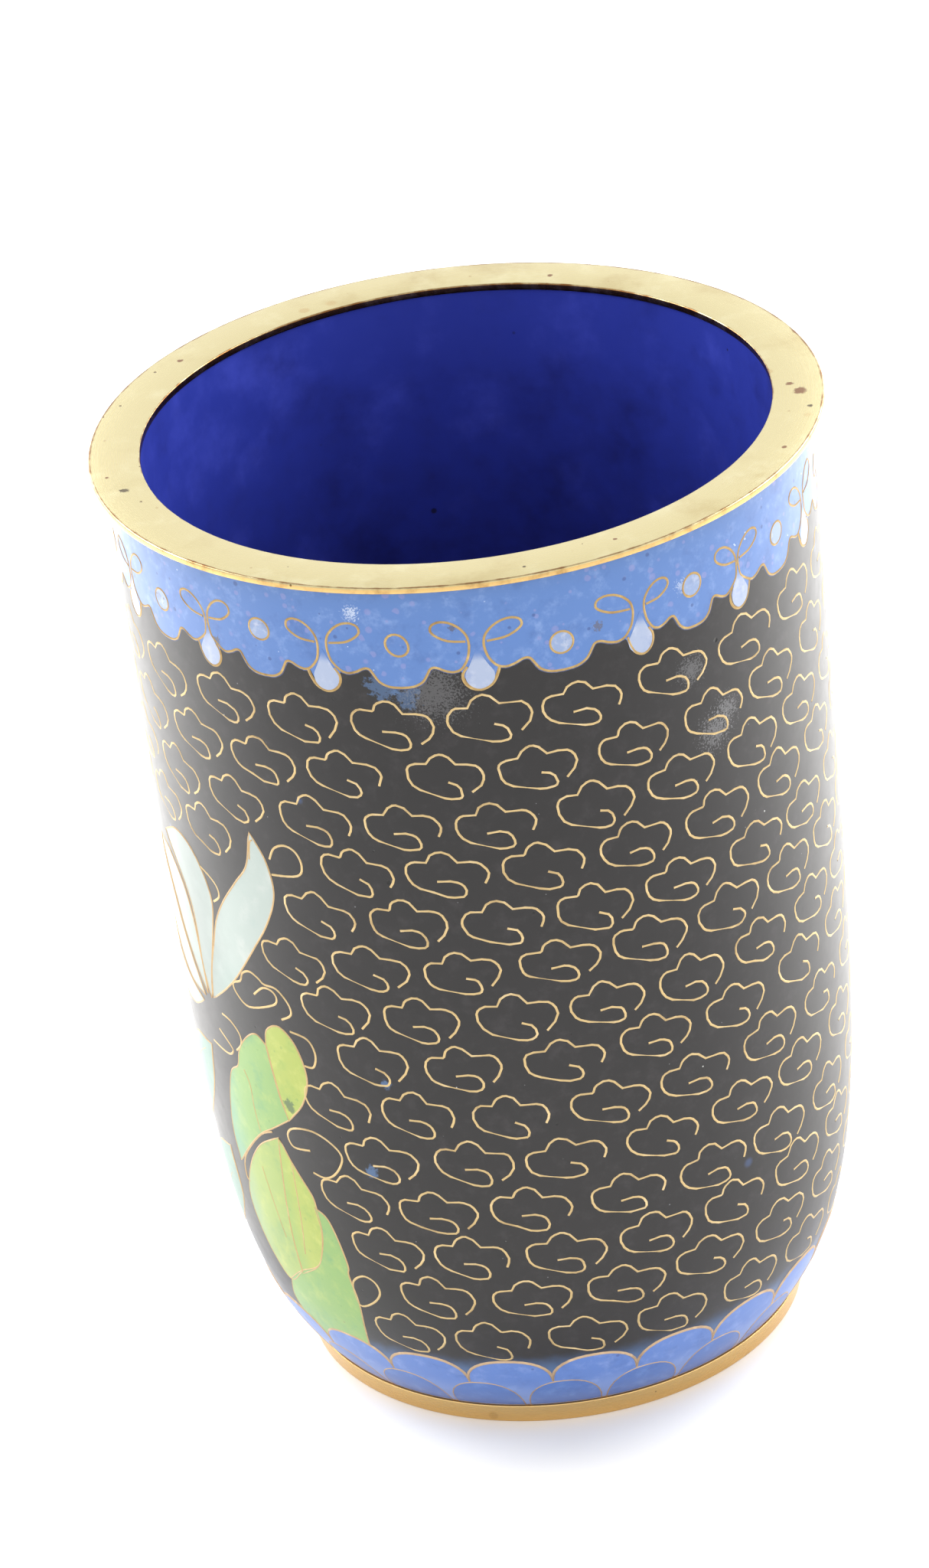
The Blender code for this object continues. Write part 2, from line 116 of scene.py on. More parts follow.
@dataclass(frozen=True)
class CupForm:
    """The finished outer surface of the cup and the thickness of what lies under it."""

    height: float
    rim_radius: float
    rim_width: float = 3.25 * MM
    rim_edge: float = 0.40 * MM
    rim_lip: float = 0.50 * MM
    rim_overhang: float = 0.95 * MM
    wall_taper: float = 0.35 * MM
    belly_height: float = 37.0 * MM
    belly_shoulder: float = 21.8 * MM
    belly_heel_out: float = 4.4 * MM
    belly_heel_up: float = 5.3 * MM
    foot_radius: float = 16.3 * MM
    foot_flare: float = 0.25 * MM
    foot_height: float = 1.35 * MM
    foot_width: float = 1.30 * MM
    foot_recess: float = 1.60 * MM
    metal_inset: float = 0.80 * MM
    metal_wall: float = 0.70 * MM
    metal_floor: float = 0.90 * MM
    clearance: float = 0.30 * MM
    lining: float = 0.35 * MM
    base_enamel: float = 0.40 * MM
    floor_corner_height: float = 6.2 * MM
    floor_corner: float = 3.0 * MM
    collar_depth: float = 5.6 * MM
    lappet_rise: float = 5.1 * MM
    belly_steps: int = 48
    corner_steps: int = 10
    wall_step: float = 4 * MM

    @classmethod
    def from_frame(cls) -> "CupForm":
        """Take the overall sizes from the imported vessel.

        Returns:
            The cup's form at the size of the solids.
        """
        _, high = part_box("metal_vessel")
        return cls(height=high.z, rim_radius=high.x)

    @property
    def wall_top(self) -> float:
        """Height of the rim's underside."""
        return self.height - self.rim_edge

    @property
    def belly_radius(self) -> float:
        """Radius of the wall where the belly starts."""
        return self.rim_radius - self.rim_overhang - self.wall_taper

    @property
    def cusps(self) -> float:
        """Height of the points between the collar's lobes."""
        return self.wall_top - self.collar_depth

    @property
    def lappet_top(self) -> float:
        """Height of the top of the upper lappets."""
        return self.foot_height + self.lappet_rise

    @cached_property
    def belly(self) -> tuple[np.ndarray, np.ndarray]:
        """Heights and radii along the belly's curve, from the foot up.

        Returns:
            The heights and the radii.
        """
        t = np.linspace(1.0, 0.0, self.belly_steps + 1)[:, None]
        slope = self.wall_taper / (self.wall_top - self.belly_height)
        top = np.array((self.belly_radius, self.belly_height))
        shoulder = top - np.array((slope * self.belly_shoulder, self.belly_shoulder))
        end = np.array((self.foot_radius, self.foot_height))
        heel = end + np.array((self.belly_heel_out, self.belly_heel_up))
        s = 1.0 - t
        line = top * s**3 + shoulder * 3 * s * s * t + heel * 3 * s * t * t + end * t**3
        return line[:, 1], line[:, 0]

    def radius(self, height: float) -> float:
        """Radius of the finished surface at a height.

        Args:
            height: Height above the foot's underside.

        Returns:
            The radius in metres.
        """
        if height >= self.belly_height:
            share = (height - self.belly_height) / (self.wall_top - self.belly_height)
            return self.belly_radius + self.wall_taper * share
        return float(np.interp(height, *self.belly))

    @lru_cache(maxsize=None)
    def section(self, height: float, lift: float = 0.0) -> tuple[float, float]:
        """Radius and height of a point at a distance square to the surface.

        Args:
            height: Height of the surface point.
            lift: Distance outwards from the surface.

        Returns:
            The radius and the height of the lifted point.
        """
        out, up = self.lean(height)
        return self.radius(height) + out * lift, height + up * lift

    @lru_cache(maxsize=None)
    def lean(self, height: float) -> tuple[float, float]:
        """Outward and upward parts of the surface's normal at a height.

        Args:
            height: Height of the surface point.

        Returns:
            The outward and the upward part.
        """
        step = 0.3 * MM
        slope = (self.radius(height + step) - self.radius(height - step)) / (2 * step)
        length = math.hypot(1.0, slope)
        return 1.0 / length, -slope / length

    def place(self, angle: float, height: float, lift: float = 0.0) -> Vector:
        """Put a point on the wall, or at a distance from it.

        Args:
            angle: Degrees round the cup from the viewer's side.
            height: Height of the surface point.
            lift: Distance outwards from the surface.

        Returns:
            The point in the cup's frame.
        """
        radius, level = self.section(height, lift)
        turn = math.radians(angle)
        return Vector((radius * math.sin(turn), -radius * math.cos(turn), level))

    def normal(self, angle: float, height: float) -> Vector:
        """Outward normal of the wall at an angle and a height.

        Args:
            angle: Degrees round the cup.
            height: Height of the surface point.

        Returns:
            The normal.
        """
        out, up = self.lean(height)
        turn = math.radians(angle)
        return Vector((out * math.sin(turn), -out * math.cos(turn), up))

    def step(self, angle: float, height: float, along: float, rise: float) -> Polar:
        """Walk over the wall from a point.

        Args:
            angle: Degrees round the cup where the walk starts.
            height: Height where it starts.
            along: Distance walked to the right.
            rise: Distance walked upwards.

        Returns:
            The angle and the height where it ends.
        """
        level = height + rise
        return angle + math.degrees(along / self.radius(level)), level

    def levels(self, low: float, high: float, straight_step: float) -> list[float]:
        """Heights between two levels, close together where the belly curves.

        Args:
            low: The lowest height.
            high: The highest height.
            straight_step: Largest step where the wall is straight.

        Returns:
            The heights, from low to high.
        """
        margin = 0.1 * MM
        curved = [float(z) for z in self.belly[0] if low + margin < z < high - margin]
        top = curved[-1] if curved else low
        count = max(1, round((high - top) / straight_step))
        straight = [top + (high - top) * i / count for i in range(1, count + 1)]
        return [low] + curved + straight

    def hollow(self, inset: float, floor: float, top: float) -> list[Vector]:
        """Profile of a cup-shaped face under the wall.

        Args:
            inset: Depth of the face under the outer surface.
            floor: Height of its floor.
            top: Height where its wall ends.

        Returns:
            Points of radius and height, from the floor's centre to the top.
        """
        heights = self.levels(self.floor_corner_height, top, self.wall_step)
        wall = [Vector(self.section(z, -inset)) for z in heights]
        wall[-1].y = top
        start = wall[0]
        lean = wall[1] - start
        meet = Vector((start.x - (start.y - floor) * lean.x / lean.y, floor))
        end = meet - Vector((self.floor_corner, 0.0))
        corner = [bent(end, meet, start, i / self.corner_steps) for i in range(self.corner_steps)]
        return [Vector((0.0, floor))] + corner + wall


def bent(start: Vector, corner: Vector, end: Vector, share: float) -> Vector:
    """Point at a share of a curve that rounds a corner off between two points."""
    return start * (1 - share) ** 2 + corner * (2 * share * (1 - share)) + end * share * share


def flowing(points: Sequence[Vector], steps: int, closed: bool = False,
            corners: Sequence[int] = ()) -> list[Vector]:
    """Run a smooth line through points, breaking it at the corners.

    Args:
        points: The points, in a plane.
        steps: Pieces between one point and the next.
        closed: Whether the line runs back to its first point.
        corners: Indexes of the points that stay sharp.

    Returns:
        The points of the smooth line.
    """
    count = len(points)
    line = []
    for i in range(count if closed else count - 1):
        here, after = points[i], points[(i + 1) % count]
        before = points[i - 1] if closed or i > 0 else here
        beyond = points[(i + 2) % count] if closed or i + 2 < count else after
        leave = after - here if i in corners else (after - before) / 2
        arrive = after - here if (i + 1) % count in corners else (beyond - here) / 2
        for k in range(steps):
            t = k / steps
            line.append(
                here * (2 * t**3 - 3 * t**2 + 1) + leave * (t**3 - 2 * t**2 + t)
                + after * (3 * t**2 - 2 * t**3) + arrive * (t**3 - t**2))
    if not closed:
        line.append(points[-1].copy())
    return line


def thinned(line: Sequence[Vector], tolerance: float) -> list[Vector]:
    """Drop the points of an open line that its shape doesn't need.

    Args:
        line: The points of the line.
        tolerance: The furthest that the line may move.

    Returns:
        The points that are left.
    """
    start, end = line[0], line[-1]
    chord = end - start
    length = max(chord.length, WELD)
    away = [abs(chord.cross(point - start)) / length for point in line]
    furthest = max(range(len(line)), key=lambda i: away[i])
    if away[furthest] <= tolerance or len(line) < 3:
        return [start, end]
    return thinned(line[:furthest + 1], tolerance) + thinned(line[furthest:], tolerance)[1:]


def widened(outline: Sequence[Vector], distance: float) -> list[Vector]:
    """Move a closed outline outwards by a distance.

    Args:
        outline: The points of the outline, in a plane.
        distance: How far it moves.

    Returns:
        The moved points.
    """
    count = len(outline)
    least_square = 0.5
    area = sum(outline[i - 1].cross(outline[i]) for i in range(count))
    side = 1.0 if area > 0 else -1.0
    moved = []
    for i, point in enumerate(outline):
        along = (point - outline[i - 1]).normalized()
        onward = (outline[(i + 1) % count] - point).normalized()
        normal = Vector((along.y + onward.y, -along.x - onward.x)).normalized() * side
        square = max(least_square, abs(normal.dot(Vector((along.y, -along.x)))))
        moved.append(point + normal * distance / square)
    return moved


def inside(point: Vector, outline: Sequence[Vector]) -> bool:
    """Say whether a point of a plane lies inside a closed outline.

    Args:
        point: The point.
        outline: The points of the outline.

    Returns:
        True if it lies inside.
    """
    found = False
    for i, here in enumerate(outline):
        before = outline[i - 1]
        if (here.y > point.y) != (before.y > point.y):
            crossing = before.x + (point.y - before.y) * (here.x - before.x) / (here.y - before.y)
            found = found != (point.x < crossing)
    return found


def flattened(points: Sequence[Polar]) -> list[Vector]:
    """Lay points of the wall out in a plane, as degrees times FLAT and height."""
    return [Vector((angle * FLAT, height)) for angle, height in points]


def polar(points: Sequence[Vector]) -> list[Polar]:
    """Turn points of the flat plane back into degrees and heights."""
    return [(point.x / FLAT, point.y) for point in points]


def stroke(points: Sequence[Polar], closed: bool = False) -> list[Polar]:
    """Smooth line over the wall through points of degrees and millimetres of height."""
    raised = flattened([(angle, height * MM) for angle, height in points])
    return polar(flowing(raised, STROKE_STEPS, closed))


def arch_shares(steps: int) -> list[float]:
    """Shares from -1 to 1, close together at both ends, where an arch is steep."""
    return [-math.cos(math.pi * i / steps) for i in range(steps + 1)]


def add_grid(bm: bmesh.types.BMesh, columns: int, rows: int, place: Callable[[int, int], Vector]) -> None:
    """Add a grid of faces to a bmesh, with each of its crossings moved to its place.

    Args:
        bm: The bmesh that takes the grid.
        columns: Faces along the grid.
        rows: Faces up the grid.
        place: Gives the place of the crossing at a column and a row.
    """
    grid = bmesh.ops.create_grid(bm, x_segments=columns, y_segments=rows, size=1.0)
    for vert in grid["verts"]:
        column = round((vert.co.x + 1) / 2 * columns)
        row = round((vert.co.y + 1) / 2 * rows)
        vert.co = place(column, row)
    bmesh.ops.remove_doubles(bm, verts=grid["verts"], dist=WELD)


class Workbench:
    """Turns finished bmeshes into pieces of the cup and reports them."""

    def __init__(self, form: CupForm) -> None:
        """Set up the bench for one cup."""
        self.form = form

    def piece(self, name: str, bm: bmesh.types.BMesh, material: bpy.types.Material, slot: Slot,
              replaced: Sequence[str] = (), thickness: float = 0.0) -> None:
        """Make a named piece of the cup out of a bmesh.

        Args:
            name: The piece's name.
            bm: Its mesh, which is freed.
            material: Its finish.
            slot: The record's slot that the finish stands for. Not used.
            replaced: The solids that it stands for.
            thickness: Thickness that an open sheet gets inwards.
        """
        mesh = bpy.data.meshes.new(name)
        bm.edges.index_update()
        rims = [edge.index for edge in bm.edges if edge.is_boundary]
        bm.to_mesh(mesh)
        bm.free()
        mesh.shade_smooth()
        mesh.set_sharp_from_angle(angle=SHARP_ANGLE)
        for index in rims:
            mesh.edges[index].use_edge_sharp = True
        mesh.materials.append(material)
        piece = bpy.data.objects.new(name, mesh)
        bpy.context.scene.collection.objects.link(piece)
        if thickness:
            solidify = piece.modifiers.new("Thickness", "SOLIDIFY")
            solidify.thickness = thickness
            solidify.offset = -1.0
        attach(piece, BODY)
        if replaced:
            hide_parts(*replaced)
        LOG.info("%s: %d faces in %s", name, len(mesh.polygons), material.name)

    def sheet(self, angles: Sequence[float], levels: Sequence[float], low: Callable[[float], float],
              high: Callable[[float], float], lift: float) -> bmesh.types.BMesh:
        """Wrap a sheet round the wall between two edges.

        Args:
            angles: Degrees of its columns; the last closes on the first.
            levels: Shares of the way from the low edge to the high one.
            low: Height of the low edge at an angle.
            high: Height of the high edge at an angle.
            lift: Distance of the sheet from the wall.

        Returns:
            The sheet as an open bmesh that faces outwards.
        """
        lows = [low(angle) for angle in angles]
        highs = [high(angle) for angle in angles]

        def crossing(column: int, row: int) -> Vector:
            """Place of a crossing of the sheet."""
            height = lows[column] + (highs[column] - lows[column]) * levels[row]
            return self.form.place(angles[column], height, lift)

        bm = bmesh.new()
        add_grid(bm, len(angles) - 1, len(levels) - 1, crossing)
        return bm

    def turned(self, profile: Sequence[Vector], steps: int) -> bmesh.types.BMesh:
        """Spin a profile that starts and ends on the axis.

        Args:
            profile: Points of radius and height.
            steps: Facets round the axis.

        Returns:
            The closed turned shape.
        """
        bm = bmesh.new()
        verts = [bm.verts.new((point.x, 0.0, point.y)) for point in profile]
        edges = [bm.edges.new(pair) for pair in zip(verts, verts[1:])]
        bmesh.ops.spin(
            bm, geom=verts + edges, cent=(0, 0, 0), axis=(0, 0, 1), angle=math.tau, steps=steps,
            use_merge=True)
        bmesh.ops.remove_doubles(bm, verts=bm.verts, dist=WELD)
        bmesh.ops.recalc_face_normals(bm, faces=bm.faces)
        return bm

    def patch(self, bm: bmesh.types.BMesh, outline: Sequence[Vector], lift: float,
              slice_width: float = 0.7 * MM) -> None:
        """Fill a closed outline, bend the fill round the wall and add it to a bmesh.

        Args:
            bm: The bmesh that takes the patch.
            outline: Points of degrees round the cup (times FLAT) and height.
            lift: Distance of the patch from the wall.
            slice_width: Width of the strips that let it bend.
        """
        flat = bmesh.new()
        verts = [flat.verts.new((point.x, point.y, 0.0)) for point in outline]
        edges = [flat.edges.new((verts[i - 1], verts[i])) for i in range(len(verts))]
        bmesh.ops.triangle_fill(flat, use_beauty=True, edges=edges)
        for axis in (Vector((1, 0, 0)), Vector((0, 1, 0))):
            reach = [axis.dot(vert.co) for vert in flat.verts]
            low, high = min(reach), max(reach)
            cuts = math.ceil((high - low) / slice_width)
            for i in range(1, cuts):
                where = low + (high - low) * i / cuts
                bmesh.ops.bisect_plane(
                    flat, geom=flat.verts[:] + flat.edges[:] + flat.faces[:], dist=WELD,
                    plane_co=axis * where, plane_no=axis)
        bmesh.ops.remove_doubles(flat, verts=flat.verts, dist=WELD)
        bmesh.ops.triangulate(flat, faces=flat.faces)
        for vert in flat.verts:
            vert.co = self.form.place(vert.co.x / FLAT, vert.co.y, lift)
        flat.normal_update()
        flat.faces.ensure_lookup_table()
        centre = flat.faces[0].calc_center_median()
        if flat.faces[0].normal.dot(Vector((centre.x, centre.y, 0.0))) < 0:
            bmesh.ops.reverse_faces(flat, faces=flat.faces)
        mesh = bpy.data.meshes.new("patch")
        flat.to_mesh(mesh)
        flat.free()
        bm.from_mesh(mesh)
        bpy.data.meshes.remove(mesh)


@dataclass(frozen=True)
class Gauge:
    """A wire's width at the glass, and how far its ridge and its feet are from it."""

    width: float
    rise: float = 0.026 * MM
    sink: float = 0.008 * MM


class WireBed:
    """Lays wires on the wall and gathers them in one mesh.

    A wire is ground flush with the glass, so only a low ridge of it shows. It
    has three sides: two that meet in the ridge, and one under the glass.
    """

    def __init__(self, form: CupForm, gauge: Gauge) -> None:
        """Start an empty bed for wires of one gauge.

        Args:
            form: The cup's form.
            gauge: The wires' gauge.
        """
        self.form = form
        self.gauge = gauge
        self.bm = bmesh.new()

    def lay(self, path: Sequence[Polar], closed: bool = False) -> None:
        """Lay one wire.

        Args:
            path: Degrees and heights along the wire.
            closed: Whether it runs back to its first point.
        """
        form, gauge = self.form, self.gauge
        line = list(path) + [path[0]] if closed else list(path)
        spots = [form.place(*at) for at in line]
        rings = []
        for i, (angle, height) in enumerate(line):
            before = spots[i - 1] if i > 0 else spots[-2] if closed else spots[0]
            after = spots[i + 1] if i + 1 < len(spots) else spots[1] if closed else spots[-1]
            normal = form.normal(angle, height)
            side = (after - before).cross(normal).normalized() * gauge.width / 2
            foot = spots[i] - normal * gauge.sink
            rings.append((foot - side, spots[i] + normal * gauge.rise, foot + side, foot - side))
        add_grid(self.bm, len(rings) - 1, 3, lambda column, row: rings[column][row])

    def finished(self) -> bmesh.types.BMesh:
        """Close the wires' ends and turn their faces outwards.

        Returns:
            The bmesh of all the wires.
        """
        bmesh.ops.holes_fill(self.bm, edges=self.bm.edges, sides=3)
        bmesh.ops.recalc_face_normals(self.bm, faces=self.bm.faces)
        return self.bm


class NodeWriter:
    """Writes shader nodes into one tree, from left to right."""

    def __init__(self, tree: bpy.types.NodeTree) -> None:
        """Write into the tree."""
        self.tree = tree

    def feed(self, socket: bpy.types.NodeSocket, value: object) -> None:
        """Link a socket to another, or set its value.

        Args:
            socket: The input to fill.
            value: A socket, a number, a vector or a colour of three numbers.
        """
        if isinstance(value, bpy.types.NodeSocket):
            self.tree.links.new(value, socket)
        elif socket.type == "RGBA":
            socket.default_value = (*value[:3], 1.0)
        else:
            socket.default_value = value

    def add(self, kind: str, inputs: dict[str | int, object] | None = None,
            **settings: object) -> bpy.types.Node:
        """Add a node.

        Args:
            kind: The node's type.
            inputs: Values or links of its inputs, by name or number.
            **settings: Properties of the node.

        Returns:
            The node.
        """
        node = self.tree.nodes.new(kind)
        for name, value in settings.items():
            setattr(node, name, value)
        for socket, value in (inputs or {}).items():
            self.feed(node.inputs[socket], value)
        return node

    def math(self, operation: str, *values: object) -> bpy.types.NodeSocket:
        """Add a Math node and return its value."""
        return self.add("ShaderNodeMath", dict(enumerate(values)), operation=operation).outputs[0]

    def mix(self, share: object, first: object, second: object) -> bpy.types.NodeSocket:
        """Mix two colours by a share and return the result."""
        return self.add("ShaderNodeMix", {0: share, 6: first, 7: second}, data_type="RGBA").outputs[2]

    def ramp(self, value: object, low: object, high: object) -> bpy.types.NodeSocket:
        """Map a value smoothly from low..high to 0..1 and return it."""
        inputs = {"Value": value, "From Min": low, "From Max": high}
        return self.add("ShaderNodeMapRange", inputs, interpolation_type="SMOOTHSTEP").outputs["Result"]

    def offset(self, vector: object, shift: object) -> bpy.types.NodeSocket:
        """Move coordinates by a shift that is the same along the three axes."""
        return self.add("ShaderNodeVectorMath", {0: vector, 1: shift}, operation="ADD").outputs[0]

    def noise(self, vector: object, scale: object, detail: float = 3.0,
              roughness: float = 0.55) -> bpy.types.NodeSocket:
        """Add a Noise Texture and return its value."""
        inputs = {"Vector": vector, "Scale": scale, "Detail": detail, "Roughness": roughness}
        return self.add("ShaderNodeTexNoise", inputs).outputs[0]

    def coordinates(self) -> bpy.types.NodeSocket:
        """Return the object coordinates."""
        return self.add("ShaderNodeTexCoord").outputs["Object"]

    def group(self, tree: bpy.types.NodeTree, inputs: dict[str, object]) -> bpy.types.Node:
        """Place a node group and fill its inputs."""
        return self.add("ShaderNodeGroup", inputs, node_tree=tree)

    def cover(self, colour: object, mask: object, strength: float, over: Colour) -> bpy.types.NodeSocket:
        """Lay another colour over a colour where a mask is, and return the result."""
        return self.mix(self.math("MULTIPLY", mask, strength), colour, over)


class Effects:
    """Node groups that several finishes share, each built once."""

    @staticmethod
    def start(name: str, inputs: Sequence[str],
              outputs: Sequence[str]) -> tuple[NodeWriter, dict, bpy.types.Node]:
        """Start a group with its sockets, of which only a centre isn't a number.

        Args:
            name: The group's name.
            inputs: Names of its inputs.
            outputs: Names of its outputs.

        Returns:
            A writer for the group, its input sockets by name and its output node.
        """
        tree = bpy.data.node_groups.new(name, "ShaderNodeTree")
        for in_out, sockets in (("INPUT", inputs), ("OUTPUT", outputs)):
            for socket in sockets:
                kind = "NodeSocketVector" if socket == "Centre" else "NodeSocketFloat"
                tree.interface.new_socket(name=socket, in_out=in_out, socket_type=kind)
        entry = tree.nodes.new("NodeGroupInput")
        return NodeWriter(tree), entry.outputs, tree.nodes.new("NodeGroupOutput")

    @cached_property
    def marks(self) -> bpy.types.NodeTree:
        """Small round marks that lie scattered over a surface.

        Returns:
            The group's tree.
        """
        writer, given, result = self.start("scattered_marks", ("Scale", "Share", "Reach", "Shift"), ("Mask",))
        moved = writer.offset(writer.coordinates(), given["Shift"])
        cells = writer.add("ShaderNodeTexVoronoi", {"Vector": moved, "Scale": given["Scale"]})
        chance = writer.add("ShaderNodeSeparateColor", {0: cells.outputs["Color"]})
        chosen = writer.math("LESS_THAN", chance.outputs[0], given["Share"])
        smallest, core_share = 0.35, 0.55
        reach = writer.math("MULTIPLY", given["Reach"], writer.math("ADD", chance.outputs[1], smallest))
        core = writer.math("MULTIPLY", reach, core_share)
        near = writer.ramp(cells.outputs["Distance"], reach, core)
        writer.feed(result.inputs["Mask"], writer.math("MULTIPLY", chosen, near))
        return writer.tree

    @cached_property
    def mottle(self) -> bpy.types.NodeTree:
        """Soft clouds in the glass, as a share from 0 to 1.

        Returns:
            The group's tree.
        """
        writer, given, result = self.start("glass_mottle", ("Scale", "Low", "High", "Shift"), ("Mask",))
        moved = writer.offset(writer.coordinates(), given["Shift"])
        clouds = writer.noise(moved, given["Scale"], detail=5.0, roughness=0.62)
        writer.feed(result.inputs["Mask"], writer.ramp(clouds, given["Low"], given["High"]))
        return writer.tree

    @cached_property
    def stain(self) -> bpy.types.NodeTree:
        """One ragged stain round a point.

        Returns:
            The group's tree.
        """
        writer, given, result = self.start("ragged_stain", ("Centre", "Radius", "Ragged", "Grain"), ("Mask",))
        spot = writer.coordinates()
        away = writer.add("ShaderNodeVectorMath", {0: spot, 1: given["Centre"]}, operation="DISTANCE")
        edge = writer.noise(spot, writer.math("DIVIDE", 1.0, given["Grain"]), roughness=0.7)
        stray = writer.math("MULTIPLY", writer.math("SUBTRACT", edge, 0.5), given["Ragged"])
        share = writer.math("ADD", writer.math("DIVIDE", away.outputs["Value"], given["Radius"]), stray)
        solid_share = 0.55
        writer.feed(result.inputs["Mask"], writer.ramp(share, 1.0, solid_share))
        return writer.tree

    @cached_property
    def round_cup(self) -> bpy.types.NodeTree:
        """Degrees round the cup, distance from its axis and height.

        Returns:
            The group's tree.
        """
        writer, _, result = self.start("round_the_cup", (), ("Angle", "Radius", "Height"))
        parts = writer.add("ShaderNodeSeparateXYZ", {0: writer.coordinates()})
        x, y, z = parts.outputs
        back = writer.math("MULTIPLY", y, -1.0)
        square = writer.math("ADD", writer.math("MULTIPLY", x, x), writer.math("MULTIPLY", y, y))
        writer.feed(result.inputs["Angle"], writer.math("DEGREES", writer.math("ARCTAN2", x, back)))
        writer.feed(result.inputs["Radius"], writer.math("SQRT", square))
        writer.feed(result.inputs["Height"], z)
        return writer.tree


@dataclass(frozen=True)
class Marks:
    """Specks or pits scattered in a finish."""

    colour: Colour
    spacing: float
    share: float
    reach: float
    strength: float
    depth: float = 0.0


@dataclass(frozen=True)
class Stain:
    """One mark at a place of its own."""

    colour: Colour
    centre: Vector
    radius: float
    ragged: float
    strength: float
    grain: float = 0.38 * MM


@dataclass(frozen=True)
class Fade:
    """A colour that takes over along the height or round the cup."""

    colour: Colour
    way: Way
    start: float
    end: float
    strength: float = 1.0


@dataclass(frozen=True)
class Finish:
    """What every finish of the cup has: a name, colours and marks."""

    name: str
    base: Colour
    light: Colour
    dark: Colour
    mottle_size: float
    roughness: float = 0.30
    fades: tuple[Fade, ...] = ()
    marks: tuple[Marks, ...] = ()
    stains: tuple[Stain, ...] = ()
    pale_range: tuple[float, float] = (0.48, 0.78)
    deep_range: tuple[float, float] = (0.50, 0.80)
    deep_scale: float = 0.6
    deep_shift: float = 0.37
    drift_scale: float = 700.0
    drift_share: float = 0.5
    marks_shift: float = 0.11

    def painted(self, writer: NodeWriter,
                effects: Effects) -> tuple[bpy.types.NodeSocket, bpy.types.NodeSocket]:
        """Write the finish's colour and relief.

        Args:
            writer: Writer for the material's tree.
            effects: The shared node groups.

        Returns:
            The colour, and the depth of its pits in metres.
        """
        scale = 1.0 / self.mottle_size
        pale = writer.group(effects.mottle, {
            "Scale": scale, "Low": self.pale_range[0], "High": self.pale_range[1], "Shift": 0.0})
        deep = writer.group(effects.mottle, {
            "Scale": scale * self.deep_scale, "Low": self.deep_range[0], "High": self.deep_range[1],
            "Shift": self.deep_shift})
        colour = writer.mix(pale.outputs[0], self.base, self.light)
        colour = writer.mix(deep.outputs[0], colour, self.dark)
        place = writer.group(effects.round_cup, {})
        for fade in self.fades:
            drift = writer.math("SUBTRACT", writer.noise(writer.coordinates(), self.drift_scale), 0.5)
            stray = writer.math("MULTIPLY", drift, (fade.end - fade.start) * self.drift_share)
            value = writer.math("ADD", place.outputs[fade.way.value], stray)
            taken = writer.ramp(value, fade.start, fade.end)
            colour = writer.cover(colour, taken, fade.strength, fade.colour)
        depth = None
        for i, marks in enumerate(self.marks):
            spots = writer.group(effects.marks, {
                "Scale": 1.0 / marks.spacing, "Share": marks.share, "Reach": marks.reach,
                "Shift": self.marks_shift * (i + 1)})
            colour = writer.cover(colour, spots.outputs[0], marks.strength, marks.colour)
            if marks.depth:
                sunk = writer.math("MULTIPLY", spots.outputs[0], -marks.depth)
                depth = sunk if depth is None else writer.math("ADD", depth, sunk)
        for stain in self.stains:
            spot = writer.group(effects.stain, {
                "Centre": stain.centre, "Radius": stain.radius, "Ragged": stain.ragged, "Grain": stain.grain})
            colour = writer.cover(colour, spot.outputs[0], stain.strength, stain.colour)
        return colour, depth if depth is not None else writer.math("MULTIPLY", deep.outputs[0], 0.0)

    @staticmethod
    def dress(writer: NodeWriter, shader: bpy.types.Node, colour: object, rough: object,
              relief: object) -> None:
        """Link a finish's colour, roughness and relief to its shader.

        Args:
            writer: Writer for the material's tree.
            shader: The material's Principled shader.
            colour: The colour.
            rough: The roughness.
            relief: The relief in metres.
        """
        bump = writer.add("ShaderNodeBump", {"Height": relief, "Distance": 1.0})
        writer.feed(shader.inputs["Base Color"], colour)
        writer.feed(shader.inputs["Roughness"], rough)
        writer.feed(shader.inputs["Normal"], bump.outputs["Normal"])

    def started(self) -> tuple[bpy.types.Material, NodeWriter, bpy.types.Node]:
        """Make the material and find its shader.

        Returns:
            The material, a writer for its tree and its Principled shader.
        """
        material = bpy.data.materials.new(self.name)
        material.use_nodes = True
        writer = NodeWriter(material.node_tree)
        return material, writer, material.node_tree.nodes["Principled BSDF"]


@dataclass(frozen=True)
class Glaze(Finish):
    """Fused glass, ground flush and polished."""

    waviness: float = 0.004 * MM
    wave_scale: float = 420.0
    haze_scale: float = 900.0
    haze_under: float = 0.05
    haze_over: float = 0.07
    ior: float = 1.46

    def build(self, effects: Effects) -> bpy.types.Material:
        """Make the material.

        Args:
            effects: The shared node groups.

        Returns:
            The material.
        """
        material, writer, shader = self.started()
        colour, depth = self.painted(writer, effects)
        ripple = writer.noise(writer.coordinates(), self.wave_scale, detail=2.0)
        wave = writer.math("MULTIPLY", ripple, self.waviness)
        haze = writer.noise(writer.coordinates(), self.haze_scale, detail=4.0)
        rough = writer.add("ShaderNodeMapRange", {
            "Value": haze, "To Min": self.roughness - self.haze_under,
            "To Max": self.roughness + self.haze_over})
        self.dress(writer, shader, colour, rough.outputs["Result"], writer.math("ADD", depth, wave))
        shader.inputs["IOR"].default_value = self.ior
        return material


